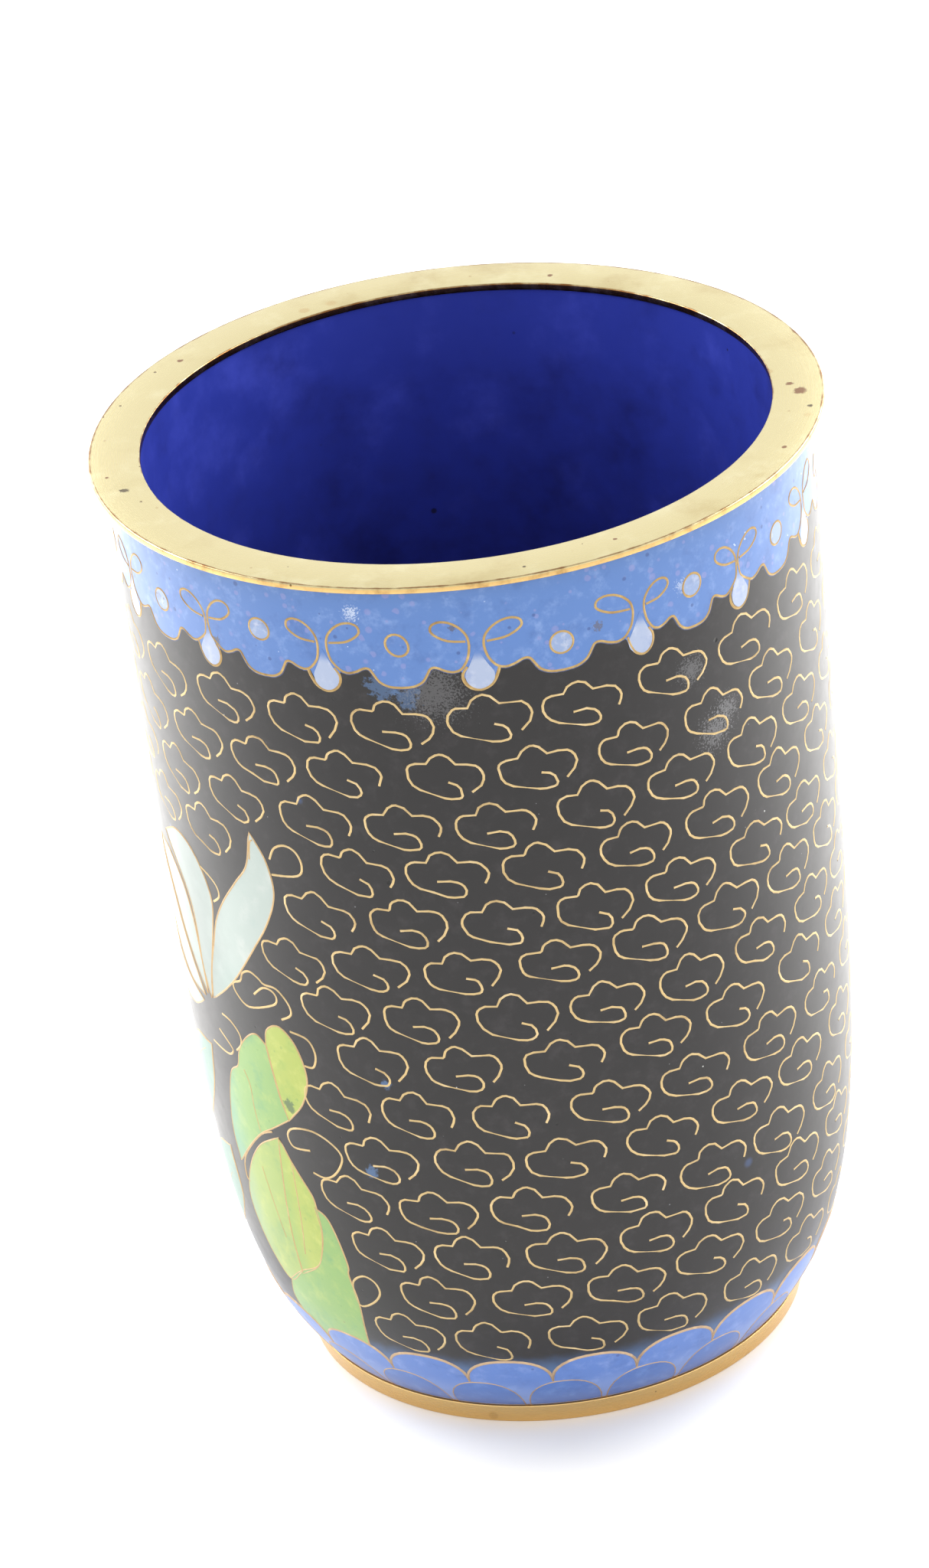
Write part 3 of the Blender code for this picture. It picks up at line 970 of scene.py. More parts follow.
@dataclass(frozen=True)
class Brass(Finish):
    """Polished brass with a little tarnish, turned where it has turning marks.

    A band of tarnish is the radius of its middle and its width.
    """

    turning: float = 0.0
    tarnish: Colour = (0.20, 0.085, 0.025)
    bands: tuple[tuple[float, float], ...] = ()
    ring_scale: float = 30000.0
    ring_drift: float = 0.05
    ring_depth: float = 0.002 * MM
    ring_gloss: float = 0.16
    band_scale: float = 900.0
    band_ragged: float = 1.7
    band_outer: float = 1.5
    band_core: float = 0.7

    def build(self, effects: Effects) -> bpy.types.Material:
        """Make the material.

        Args:
            effects: The shared node groups.

        Returns:
            The material.
        """
        material, writer, shader = self.started()
        colour, depth = self.painted(writer, effects)
        place = writer.group(effects.round_cup, {})
        ring_vector = writer.add("ShaderNodeCombineXYZ", {
            0: writer.math("MULTIPLY", place.outputs["Radius"], self.ring_scale),
            1: writer.math("MULTIPLY", place.outputs["Angle"], self.ring_drift),
            2: writer.math("MULTIPLY", place.outputs["Height"], self.ring_scale)})
        rings = writer.noise(ring_vector.outputs[0], 1.0, detail=2.0)
        for middle, width in self.bands:
            away = writer.math("ABSOLUTE", writer.math("SUBTRACT", place.outputs["Radius"], middle))
            frayed = writer.noise(writer.coordinates(), self.band_scale, detail=4.0)
            ragged = writer.math("MULTIPLY", frayed, width * self.band_ragged)
            spread = writer.math("ADD", away, ragged)
            line = writer.ramp(spread, width * self.band_outer, width * self.band_core)
            colour = writer.mix(line, colour, self.tarnish)
        streaked = writer.math("MULTIPLY", writer.math("SUBTRACT", rings, 0.5), self.turning)
        relief = writer.math("ADD", depth, writer.math("MULTIPLY", streaked, self.ring_depth))
        rough = writer.math("ADD", writer.math("MULTIPLY", streaked, self.ring_gloss), self.roughness)
        self.dress(writer, shader, colour, rough, relief)
        shader.inputs["Metallic"].default_value = 1.0
        return material


@dataclass(frozen=True)
class Vessel:
    """The turned metal cup with its rim and foot, the lining and the enamel underneath."""

    form: CupForm
    facets: int = 192
    edge_round: float = 0.10 * MM
    edge_steps: int = 4

    def rounded(self, points: Sequence[Vector]) -> list[Vector]:
        """Round the corners of a profile.

        Args:
            points: Points of radius and height.

        Returns:
            The profile with a small arc at each sharp corner.
        """
        line = [points[0]]
        for before, here, after in zip(points, points[1:], points[2:]):
            arrive, leave = here - before, after - here
            if arrive.angle(leave) < SHARP_ANGLE:
                line.append(here)
                continue
            reach = min(self.edge_round, arrive.length / 2, leave.length / 2)
            start = here - arrive.normalized() * reach
            end = here + leave.normalized() * reach
            line += [bent(start, here, end, i / self.edge_steps) for i in range(self.edge_steps + 1)]
        return line + [points[-1]]

    def metal_profile(self) -> list[Vector]:
        """Profile of the metal, from the floor's centre inside to the centre underneath.

        Returns:
            Points of radius and height.
        """
        form = self.form
        inner = form.rim_radius - form.rim_width
        lip = form.height - form.rim_lip
        hollow = form.hollow(form.metal_inset + form.metal_wall, form.foot_recess + form.metal_floor, lip)
        heights = form.levels(form.foot_height, form.wall_top, form.wall_step)
        wall = [Vector(form.section(z, -form.metal_inset)) for z in reversed(heights)]
        wall[0].y = form.wall_top
        rim = [(inner, lip), (inner, form.height), (form.rim_radius, form.height),
               (form.rim_radius, form.wall_top)]
        ring = form.foot_radius - form.foot_width
        foot = [(wall[-1].x, form.foot_height), (form.foot_radius + form.foot_flare, form.foot_height),
                (form.foot_radius, 0.0), (ring, 0.0), (ring, form.foot_recess), (0.0, form.foot_recess)]
        return self.rounded(hollow + [Vector(p) for p in rim] + wall + [Vector(p) for p in foot])

    def rim_stains(self) -> tuple[Stain, ...]:
        """Pits and brown spots on the rim's top: those in front are where the real one has them.

        Returns:
            A stain for each of them.
        """
        brown, dark = (0.16, 0.05, 0.02), (0.05, 0.03, 0.02)
        ragged, strength = 1.4, 0.85
        spots = (
            (-77.0, 21.3, 0.34, dark), (85.0, 21.5, 0.55, brown), (79.0, 22.2, 0.22, dark),
            (88.0, 20.9, 0.30, brown), (-83.0, 22.0, 0.16, brown), (64.0, 21.9, 0.20, brown),
            (24.0, 21.2, 0.16, brown), (8.0, 21.8, 0.14, dark), (160.0, 21.0, 0.22, brown),
            (-128.0, 21.6, 0.24, brown))
        stains = []
        for angle, radius, size, colour in spots:
            turn = math.radians(angle)
            centre = Vector((radius * math.sin(turn), -radius * math.cos(turn), self.form.height / MM)) * MM
            stains.append(Stain(colour, centre, size * MM, ragged, strength))
        return tuple(stains)

    def add_metal(self, bench: Workbench, effects: Effects) -> None:
        """Build the turned cup.

        Args:
            bench: Makes the pieces.
            effects: The shared node groups.
        """
        form = self.form
        inner = form.rim_radius - form.rim_width
        finish = Brass(
            "turned_brass", base=(0.555, 0.485, 0.265), light=(0.62, 0.565, 0.345), dark=(0.465, 0.38, 0.185),
            mottle_size=3.0 * MM, roughness=0.27, turning=1.0,
            # Everything below the rim's top face turns a deeper orange, so the top face stays paler: a
            # painted highlight on the top face.
            fades=(Fade((0.70, 0.47, 0.19), Way.UP, form.height - 0.03 * MM, form.height - 0.12 * MM),),
            bands=((form.rim_radius - 0.10 * MM, 0.17 * MM), (inner, 0.16 * MM)),
            marks=(
                Marks((0.10, 0.05, 0.02), 1.1 * MM, 0.10, 0.10, 0.8, 0.01 * MM),
                Marks((0.42, 0.24, 0.08), 1.9 * MM, 0.16, 0.24, 0.35),
                Marks((0.30, 0.16, 0.06), 0.8 * MM, 0.08, 0.14, 0.40),
            ),
            stains=self.rim_stains())
        bm = bench.turned(self.metal_profile(), self.facets)
        bench.piece("brass_vessel", bm, finish.build(effects), Slot.BRASS, ["metal_vessel"])

    def add_lining(self, bench: Workbench, effects: Effects) -> None:
        """Build the cobalt enamel inside.

        Args:
            bench: Makes the pieces.
            effects: The shared node groups.
        """
        form = self.form
        top = form.height - form.rim_lip
        back_inset = form.metal_inset + form.metal_wall + form.clearance
        back_floor = form.foot_recess + form.metal_floor + form.clearance
        face = form.hollow(back_inset + form.lining, back_floor + form.lining, top)
        back = form.hollow(back_inset, back_floor, top)
        finish = Glaze(
            "cobalt_glass", base=(0.023, 0.037, 0.295), light=(0.042, 0.060, 0.40), dark=(0.014, 0.020, 0.16),
            mottle_size=5.0 * MM, roughness=0.34, waviness=0.02 * MM,
            # The glass darkens towards the cup's floor: painted shade of the deep inside, where less light
            # gets in.
            fades=(Fade((0.016, 0.015, 0.066), Way.UP, 60.0 * MM, 22.0 * MM, 0.90),),
            marks=(
                Marks(PIT, 2.2 * MM, 0.10, 0.09, 0.8, 0.01 * MM),
                Marks((0.01, 0.012, 0.09), 6.0 * MM, 0.22, 0.22, 0.5),
            ))
        bm = bench.turned(face + back[::-1], self.facets)
        bench.piece("cobalt_lining", bm, finish.build(effects), Slot.LINING, ["lining_enamel"])

    def add_base(self, bench: Workbench, effects: Effects) -> None:
        """Build the plain enamel disc in the recess underneath.

        Args:
            bench: Makes the pieces.
            effects: The shared node groups.
        """
        form = self.form
        radius = form.foot_radius - form.foot_width - form.clearance
        top = form.foot_recess - form.clearance
        low = top - form.base_enamel
        finish = Glaze(
            "underside_glass", base=(0.020, 0.030, 0.30), light=(0.035, 0.05, 0.42),
            dark=(0.012, 0.015, 0.16), mottle_size=3.0 * MM, roughness=0.32,
            marks=(Marks(PIT, 1.4 * MM, 0.12, 0.12, 0.8, 0.01 * MM),))
        profile = [Vector(p) for p in ((0.0, top), (radius, top), (radius, low), (0.0, low))]
        bm = bench.turned(self.rounded(profile), self.facets // 2)
        bench.piece("underside_enamel", bm, finish.build(effects), Slot.BASE, ["base_enamel"])

    def build(self, bench: Workbench, effects: Effects) -> None:
        """Build the metal and the plain enamels.

        Args:
            bench: Makes the pieces.
            effects: The shared node groups.
        """
        self.add_metal(bench, effects)
        self.add_lining(bench, effects)
        self.add_base(bench, effects)


@dataclass(frozen=True)
class Collar:
    """The blue collar with its scalloped edge, scrolls, rings and white drops.

    A motif's own sizes are in millimetres: along the wall from the axis of a
    drop, and up from the cusps. The drops, necks and rings in front are at
    the places and sizes of the real ones.
    """

    form: CupForm
    front_drops: tuple[float, ...] = (-72.2, -48.2, -25.7, -0.9, 25.9, 46.3, 69.1)
    repeats: int = 15
    half_repeat: float = 4.62
    lift: float = 0.010 * MM
    thickness: float = 0.40 * MM
    fine_slice: float = 0.5 * MM
    columns_each: int = 40
    rows: int = 6
    scroll: tuple[Polar, ...] = (
        (4.62, -1.22), (3.90, -1.15), (3.35, -0.85), (3.02, -0.35), (2.84, -0.02), (2.62, 0.09), (2.35, 0.03),
        (1.95, -0.18), (1.45, -0.30), (0.98, -0.12), (0.64, 0.45), (0.47, 1.10), (0.45, 1.62), (0.58, 2.14),
        (0.98, 2.66), (1.52, 3.00), (2.08, 3.08), (2.50, 2.88), (2.58, 2.48), (2.24, 2.10), (1.60, 1.78),
        (0.62, 1.66))
    scroll_steps: int = 6
    necks: tuple[float, ...] = (0.20, 0.12, 0.30, 0.42, 0.40, 0.10, 0.25)
    neck: float = 0.45
    neck_from: float = 0.30
    lower_edge: tuple[Polar, ...] = (
        (0.0, -1.60), (0.55, -1.40), (0.85, -0.80), (0.98, -0.12), (1.45, -0.30), (1.95, -0.18), (2.35, 0.03),
        (2.62, 0.09), (2.84, -0.02), (3.02, -0.35), (3.35, -0.85), (3.90, -1.15), (4.62, -1.22))
    drop_half: tuple[Polar, ...] = (
        (0.0, 1.25), (0.26, 0.62), (0.52, 0.05), (0.82, -0.55), (0.74, -1.10), (0.40, -1.46), (0.0, -1.58))
    drop_steps: int = 4
    cup_wire: tuple[Polar, ...] = (
        (-1.12, -0.22), (-0.92, -0.85), (-0.58, -1.38), (0.0, -1.64), (0.55, -1.44), (0.86, -0.96),
        (0.86, -0.45), (0.60, -0.02))
    ring_radius: float = 0.72
    ring_heights: tuple[float, ...] = (1.35, 1.93, 1.67, 0.64, 1.56, 1.35)
    ring_height: float = 1.50
    ring_steps: int = 20
    ring_inset: float = 0.05
    empty_rings: tuple[int, ...] = (2, 8, 11)
    wire: Gauge = Gauge(width=0.230 * MM, rise=0.050 * MM)
    seam: Gauge = Gauge(width=0.35 * MM, rise=0.026 * MM)
    tolerance: float = 0.010 * MM
    seed: int = 11

    @cached_property
    def drops(self) -> tuple[float, ...]:
        """Angles of all the drops: as measured in front, evenly spaced behind.

        Returns:
            Degrees round the cup.
        """
        hidden = self.repeats - len(self.front_drops)
        start = self.front_drops[-1]
        pitch = (self.front_drops[0] + FULL_TURN - start) / (hidden + 1)
        return self.front_drops + tuple(start + pitch * (i + 1) for i in range(hidden))

    def half_width(self, index: int, side: Side) -> float:
        """Degrees from a drop to the middle of the deep lobe beside it.

        Args:
            index: Which drop.
            side: The side that the lobe is on.

        Returns:
            The degrees, always positive.
        """
        here = self.drops[index]
        other = self.drops[(index + int(side.value)) % self.repeats]
        return ((other - here) * side.value % FULL_TURN) / 2

    def scroll_of(self, index: int, neck: float) -> list[Polar]:
        """Draw a scroll's upper part closer to its drop, or further from it.

        Args:
            index: Which drop the scroll belongs to.
            neck: Half of the gap above the drop, where the real one isn't measured.

        Returns:
            The scroll's points in the motif's own sizes.
        """
        gap = self.necks[index] if index < len(self.necks) else neck
        return [(along - (self.neck - gap if up > self.neck_from else 0.0), up) for along, up in self.scroll]

    def motif(self, index: int, side: Side, points: Sequence[Polar], tall: float = 1.0) -> list[Polar]:
        """Place points of a motif on the wall.

        Args:
            index: Which drop the motif belongs to.
            side: The side of the drop.
            points: Millimetres along from the drop and up from the cusps.
            tall: Factor on the heights above the cusps.

        Returns:
            Degrees and heights.
        """
        degrees = self.half_width(index, side) / self.half_repeat
        placed = []
        for along, up in points:
            rise = up * tall if up > 0 else up
            placed.append((self.drops[index] + side.value * along * degrees, self.form.cusps + rise * MM))
        return placed

    def edge(self, angle: float) -> float:
        """Height of the collar's scalloped lower edge at an angle.

        Args:
            angle: Degrees round the cup.

        Returns:
            The height.
        """
        ways = [(angle - drop + FULL_TURN / 2) % FULL_TURN - FULL_TURN / 2 for drop in self.drops]
        best = min(range(self.repeats), key=lambda i: abs(ways[i]))
        away = ways[best]
        side = Side.RIGHT if away >= 0 else Side.LEFT
        along = abs(away) / self.half_width(best, side) * self.half_repeat
        line = np.array(self.lower_edge)
        return self.form.cusps + float(np.interp(along, line[:, 0], line[:, 1])) * MM

    def add_skin(self, bench: Workbench, effects: Effects) -> None:
        """Build the blue glass.

        Args:
            bench: Makes the pieces.
            effects: The shared node groups.
        """
        finish = Glaze(
            "cornflower_glass", base=CORNFLOWER, light=(0.165, 0.27, 0.54), dark=(0.062, 0.135, 0.36),
            mottle_size=1.0 * MM,
            marks=(
                Marks((0.24, 0.24, 0.48), 0.55 * MM, 0.25, 0.42, 0.45),
                Marks((0.040, 0.080, 0.24), 0.80 * MM, 0.20, 0.20, 0.7, 0.004 * MM),
                Marks((0.55, 0.62, 0.76), 0.70 * MM, 0.10, 0.12, 0.9),
                Marks((0.03, 0.03, 0.05), 1.3 * MM, 0.12, 0.07, 0.9, 0.01 * MM),
            ),
            stains=(
                Stain((0.62, 0.68, 0.78), self.form.place(-20.0, 61.8 * MM), 0.42 * MM, 6.0, 0.6, 0.12 * MM),
                Stain((0.50, 0.56, 0.68), self.form.place(34.0, 59.8 * MM), 0.40 * MM, 6.0, 0.5, 0.12 * MM),
                Stain((0.10, 0.09, 0.10), self.form.place(18.6, 59.1 * MM), 0.34 * MM, 3.4, 0.7, 0.16 * MM),
                Stain((0.08, 0.07, 0.08), self.form.place(-4.2, 60.7 * MM), 0.30 * MM, 3.4, 0.7, 0.16 * MM),
                Stain((0.10, 0.08, 0.06), self.form.place(-46.4, 58.3 * MM), 0.34 * MM, 3.4, 0.7, 0.16 * MM),
            ))
        count = self.repeats * self.columns_each
        angles = [self.drops[0] + FULL_TURN * i / count for i in range(count + 1)]
        levels = [i / self.rows for i in range(self.rows + 1)]
        bm = bench.sheet(angles, levels, self.edge, lambda angle: self.form.wall_top, self.lift)
        bench.piece("collar_glass", bm, finish.build(effects), Slot.COLLAR, ["collar_enamel"], self.thickness)

    def add_drops(self, bench: Workbench, effects: Effects) -> None:
        """Build the white drops and the fills of the rings.

        Args:
            bench: Makes the pieces.
            effects: The shared node groups.
        """
        cusps = self.form.cusps
        white = Glaze(
            "drop_glass", base=(0.34, 0.40, 0.545), light=(0.45, 0.495, 0.61), dark=(0.25, 0.31, 0.50),
            mottle_size=0.7 * MM,
            fades=(Fade(CORNFLOWER, Way.UP, cusps + 0.15 * MM, cusps + 1.1 * MM),),
            marks=(Marks((0.10, 0.12, 0.25), 0.7 * MM, 0.10, 0.18, 0.8),))
        bm = bmesh.new()
        rings = bmesh.new()
        for index in range(self.repeats):
            right = self.motif(index, Side.RIGHT, self.drop_half)
            left = self.motif(index, Side.LEFT, self.drop_half[1:-1][::-1])
            drop = flowing(flattened(right + left), self.drop_steps, True, (0,))
            bench.patch(bm, drop, self.lift * 2, self.fine_slice)
            if index not in self.empty_rings:
                ring = self.ring(index, 0.0, self.ring_radius - self.ring_inset)
                bench.patch(rings, flattened(ring), self.lift * 2, self.fine_slice)
        bench.piece("collar_drops", bm, white.build(effects), Slot.PETAL, thickness=self.thickness / 2)
        pale = Glaze(
            "ring_glass", base=(0.24, 0.32, 0.51), light=(0.45, 0.49, 0.60), dark=(0.14, 0.18, 0.32),
            mottle_size=0.6 * MM, marks=(Marks((0.10, 0.09, 0.09), 0.5 * MM, 0.20, 0.22, 0.7),))
        bench.piece("collar_ring_fills", rings, pale.build(effects), Slot.PETAL, thickness=self.thickness / 2)

    def ring(self, index: int, wobble: float, radius: float) -> list[Polar]:
        """Points of the ring over the deep lobe that follows a drop.

        Args:
            index: Which drop the lobe follows.
            wobble: Share by which the ring is out of round.
            radius: Its radius in millimetres.

        Returns:
            Degrees and heights round the ring.
        """
        centre = self.drops[index] + self.half_width(index, Side.RIGHT)
        up = self.ring_heights[index] if index < len(self.ring_heights) else self.ring_height
        height = self.form.cusps + up * MM
        points = []
        for i in range(self.ring_steps):
            turn = math.tau * i / self.ring_steps
            reach = radius * MM * (1 + wobble * math.cos(2 * turn + index))
            points.append(self.form.step(centre, height, reach * math.cos(turn), reach * math.sin(turn)))
        return points

    def add_wires(self, bench: Workbench, effects: Effects) -> None:
        """Lay the scalloped edge, the scrolls, the drops' cups and the rings, and the dark seams.

        Args:
            bench: Makes the pieces.
            effects: The shared node groups.
        """
        finish = Brass(
            "collar_wire", base=(0.41, 0.28, 0.12), light=(0.59, 0.43, 0.19), dark=(0.25, 0.155, 0.065),
            mottle_size=0.8 * MM, roughness=0.40)
        bed = WireBed(self.form, self.wire)
        seam = WireBed(self.form, self.seam)
        rng = random.Random(self.seed)
        for index in range(self.repeats):
            for side in Side:
                tall = rng.uniform(0.93, 1.06)
                scroll = self.scroll_of(index, rng.uniform(0.15, 0.40))
                path = self.motif(index, side, scroll, tall)
                line = polar(thinned(flowing(flattened(path), self.scroll_steps), self.tolerance))
                bed.lay(line)
                seam.lay(line)
            cup_side = rng.choice(list(Side))
            cup = [(along * cup_side.value, up) for along, up in self.cup_wire]
            bed.lay(polar(flowing(flattened(self.motif(index, Side.RIGHT, cup)), self.drop_steps)))
            ring = self.ring(index, rng.uniform(0.0, 0.08), self.ring_radius)
            bed.lay(ring, closed=True)
            seam.lay(ring, closed=True)
        bench.piece("collar_wires", bed.finished(), finish.build(effects), Slot.BRASS)
        grime = Glaze(
            "seam_grime", base=(0.050, 0.070, 0.150), light=(0.085, 0.130, 0.30), dark=(0.045, 0.035, 0.035),
            mottle_size=0.7 * MM, roughness=0.45)
        bench.piece("collar_seams", seam.finished(), grime.build(effects), Slot.COLLAR)

    def build(self, bench: Workbench, effects: Effects) -> None:
        """Build the glass, the drops and the wires.

        Args:
            bench: Makes the pieces.
            effects: The shared node groups.
        """
        self.add_skin(bench, effects)
        self.add_drops(bench, effects)
        self.add_wires(bench, effects)


@dataclass(frozen=True)
class Cell:
    """One cell of the lily: the solid that it stands for, and its outline.

    The outline is in degrees round the cup and per cent of the black field's
    height. Sharp corners are given by their place in it.
    """

    node: str
    tone: Tone
    points: tuple[Polar, ...]
    corners: tuple[int, ...]


@dataclass(frozen=True)
class LilySpray:
    """The white lily and its leaves at the cup's left."""

    form: CupForm
    lift: float = 0.006 * MM
    lift_step: float = 0.0015 * MM
    thickness: float = 0.40 * MM
    spread: float = 0.16 * MM
    wire_out: float = 0.15 * MM
    wire: Gauge = Gauge(width=0.165 * MM, rise=0.040 * MM)
    outline_steps: int = 8
    room: float = 0.25 * MM
    room_thinning: int = 4
    cells: tuple[Cell, ...] = (
        Cell("lily_petal_right", Tone.PETAL,
             ((-45.5, 74.0), (-43.1, 70.9), (-42.4, 66.8), (-44.8, 62.4), (-48.8, 58.1), (-54.5, 52.7),
              (-59.0, 49.4), (-64.0, 46.5), (-62.6, 50.7), (-60.2, 55.2), (-58.3, 58.7), (-55.2, 62.2),
              (-50.8, 66.1), (-47.2, 69.4)), (0, 7)),
        Cell("lily_petal_inner_right", Tone.PETAL,
             ((-76.0, 65.7), (-70.0, 67.8), (-65.0, 67.4), (-61.3, 64.9), (-59.6, 61.6), (-60.4, 58.1),
              (-62.0, 54.2), (-63.9, 50.0), (-65.2, 46.3), (-66.3, 50.3), (-66.4, 54.6), (-67.2, 58.5),
              (-70.2, 62.0)), (0, 8)),
        Cell("lily_petal_middle", Tone.PETAL,
             ((-83.0, 62.4), (-76.5, 62.8), (-71.0, 60.4), (-68.4, 56.5), (-67.5, 51.9), (-66.9, 46.5),
              (-70.0, 49.4), (-73.2, 52.7), (-76.6, 56.9)), (0, 5)),
        Cell("lily_petal_inner_left", Tone.PETAL,
             ((-95.0, 60.0), (-87.0, 60.0), (-80.0, 57.7), (-75.6, 52.9), (-72.0, 49.0), (-68.6, 45.5),
              (-75.0, 45.9), (-82.0, 49.2), (-88.0, 53.8)), (0, 5)),
        Cell("lily_petal_left", Tone.PETAL,
             ((-102.0, 50.3), (-94.0, 50.7), (-87.0, 48.8), (-80.0, 45.9), (-70.0, 43.9), (-76.0, 41.6),
              (-84.0, 41.2), (-93.0, 44.5)), (0, 4)),
        Cell("upper_leaf_tip", Tone.YELLOW,
             ((-49.2, 43.5), (-48.4, 45.9), (-45.5, 47.0), (-42.6, 45.1), (-41.2, 41.0), (-43.0, 37.1),
              (-46.6, 34.0), (-47.7, 36.6), (-48.5, 39.9)), (0, 6)),
        Cell("lower_leaf_heart", Tone.YELLOW,
             ((-50.3, 29.2), (-48.6, 26.9), (-46.5, 24.6), (-44.8, 22.6), (-44.4, 20.6), (-44.2, 17.6),
              (-45.4, 14.2), (-47.8, 11.2), (-52.6, 8.8), (-52.4, 13.7), (-51.9, 18.5), (-51.1, 24.0)),
             (0, 4, 8)),
        Cell("upper_leaf_side", Tone.GREEN,
             ((-49.8, 43.4), (-52.0, 44.3), (-55.0, 42.8), (-57.6, 40.3), (-59.0, 37.7), (-62.0, 35.8),
              (-64.6, 30.9), (-66.0, 26.1), (-65.6, 22.2), (-61.0, 25.7), (-56.0, 29.2), (-51.8, 31.3),
              (-47.3, 33.6), (-48.3, 36.6), (-49.1, 39.9)), (0, 8, 12)),
        Cell("lower_leaf_side", Tone.LIME,
             ((-51.0, 29.4), (-51.8, 24.0), (-52.6, 18.5), (-53.1, 13.7), (-53.2, 8.9), (-58.5, 5.9),
              (-62.0, 8.4), (-64.6, 12.7), (-65.0, 17.0), (-61.5, 22.2), (-56.5, 26.7)), (0, 4)),
        Cell("lower_leaf_tip", Tone.GREEN,
             ((-44.0, 20.6), (-42.2, 19.7), (-40.8, 16.9), (-39.9, 13.2), (-40.3, 11.6), (-39.7, 7.4),
              (-40.4, 3.2), (-41.4, -0.9), (-46.0, -1.4), (-52.0, -3.4), (-57.0, -2.6), (-60.2, 1.6),
              (-58.1, 5.6), (-53.0, 8.45), (-47.2, 10.9), (-44.8, 14.0), (-43.6, 17.6)), (0, 7, 12)),
        Cell("left_leaf_blade", Tone.DEEP,
             ((-70.0, 37.1), (-79.0, 35.6), (-89.0, 29.4), (-99.0, 17.7), (-90.0, 19.3), (-80.0, 24.2),
              (-73.0, 30.6)), (0, 3)),
        Cell("left_leaf_low", Tone.DEEP,
             ((-71.0, 21.6), (-79.0, 19.3), (-88.0, 12.7), (-97.0, 4.2), (-87.0, 4.8), (-78.0, 8.4),
              (-71.0, 14.6)), (0, 3)),
    )
    veins: tuple[tuple[Polar, ...], ...] = (
        ((-57.4, 26.0), (-56.2, 25.0), (-56.2, 23.4), (-55.6, 21.6)),
        ((-52.0, 22.1), (-55.5, 21.4), (-60.5, 19.6), (-64.2, 17.9), (-65.0, 16.5), (-63.8, 16.3)),
        ((-48.2, 20.2), (-48.4, 17.8), (-49.0, 15.2), (-50.2, 12.8)),
        ((-57.5, 18.6), (-56.2, 16.0), (-55.0, 13.4)),
        ((-46.5, 42.9), (-46.2, 43.6), (-45.8, 44.2), (-45.2, 44.4)),
        ((-74.0, 24.6), (-82.0, 22.4), (-92.0, 17.4)),
        ((-75.0, 14.8), (-84.0, 12.0), (-92.0, 9.2)),
    )

    def outline(self, cell: Cell) -> list[Vector]:
        """Smooth outline of a cell, laid out in the flat plane.

        Args:
            cell: The cell.

        Returns:
            The points of the outline.
        """
        field = self.form.cusps - self.form.lappet_top
        points = [(angle, self.form.lappet_top + field * share / 100) for angle, share in cell.points]
        return flowing(flattened(points), self.outline_steps, True, cell.corners)

    def covers(self, at: Polar) -> bool:
        """Say whether a point of the wall lies in a cell or close beside one."""
        point = flattened([at])[0]
        return any(inside(point, outline) for outline in self.rooms)

    @cached_property
    def rooms(self) -> list[list[Vector]]:
        """The cells' outlines with the margin that the clouds keep."""
        return [widened(self.outline(cell)[::self.room_thinning], self.room) for cell in self.cells]

    def finishes(self, effects: Effects) -> dict[Tone, tuple[bpy.types.Material, Slot]]:
        """Make the cells' glasses.

        Args:
            effects: The shared node groups.

        Returns:
            Material and slot of each tone.
        """
        smudge = Stain((0.05, 0.10, 0.05), self.form.place(-46.0, 24.9 * MM), 0.55 * MM, 2.4, 0.8)
        earth = Marks((0.20, 0.22, 0.08), 1.2 * MM, 0.14, 0.16, 0.7)
        fleck = Marks((0.13, 0.25, 0.07), 0.50 * MM, 0.22, 0.26, 0.35)
        petal = Glaze(
            "petal_glass", base=(0.365, 0.425, 0.395), light=(0.45, 0.49, 0.46), dark=(0.29, 0.38, 0.355),
            mottle_size=2.4 * MM,
            fades=(Fade((0.25, 0.375, 0.325), Way.UP, 35.0 * MM, 29.5 * MM, 0.7),
                   Fade((0.21, 0.25, 0.232), Way.ROUND, -54.0, -65.0, 0.85)),
            marks=(Marks((0.35, 0.40, 0.38), 1.5 * MM, 0.10, 0.12, 0.6),))
        yellow = Glaze(
            "yellow_green_glass", base=(0.335, 0.400, 0.078), light=(0.43, 0.47, 0.11),
            dark=(0.22, 0.34, 0.070), mottle_size=1.1 * MM, marks=(earth, fleck), stains=(smudge,),
            fades=(Fade((0.20, 0.35, 0.09), Way.ROUND, -48.0, -53.0, 0.6),))
        green = Glaze(
            "leaf_green_glass", base=(0.215, 0.360, 0.110), light=(0.31, 0.42, 0.12),
            dark=(0.12, 0.29, 0.130), mottle_size=1.2 * MM, marks=(earth, fleck),
            fades=(Fade((0.11, 0.29, 0.20), Way.ROUND, -59.0, -67.0, 0.8),))
        lime = Glaze(
            "lime_green_glass", base=(0.285, 0.375, 0.095), light=(0.37, 0.43, 0.10),
            dark=(0.19, 0.31, 0.10), mottle_size=1.2 * MM, marks=(earth, fleck),
            fades=(Fade((0.19, 0.31, 0.19), Way.ROUND, -60.0, -66.0, 0.7),))
        deep = Glaze(
            "deep_green_glass", base=(0.09, 0.20, 0.155), light=(0.15, 0.27, 0.18), dark=(0.05, 0.14, 0.13),
            mottle_size=1.8 * MM, marks=(earth,))
        return {
            Tone.PETAL: (petal.build(effects), Slot.PETAL),
            Tone.YELLOW: (yellow.build(effects), Slot.YELLOW_GREEN),
            Tone.GREEN: (green.build(effects), Slot.LEAF_GREEN),
            Tone.LIME: (lime.build(effects), Slot.LEAF_GREEN),
            Tone.DEEP: (deep.build(effects), Slot.DEEP_GREEN),
        }

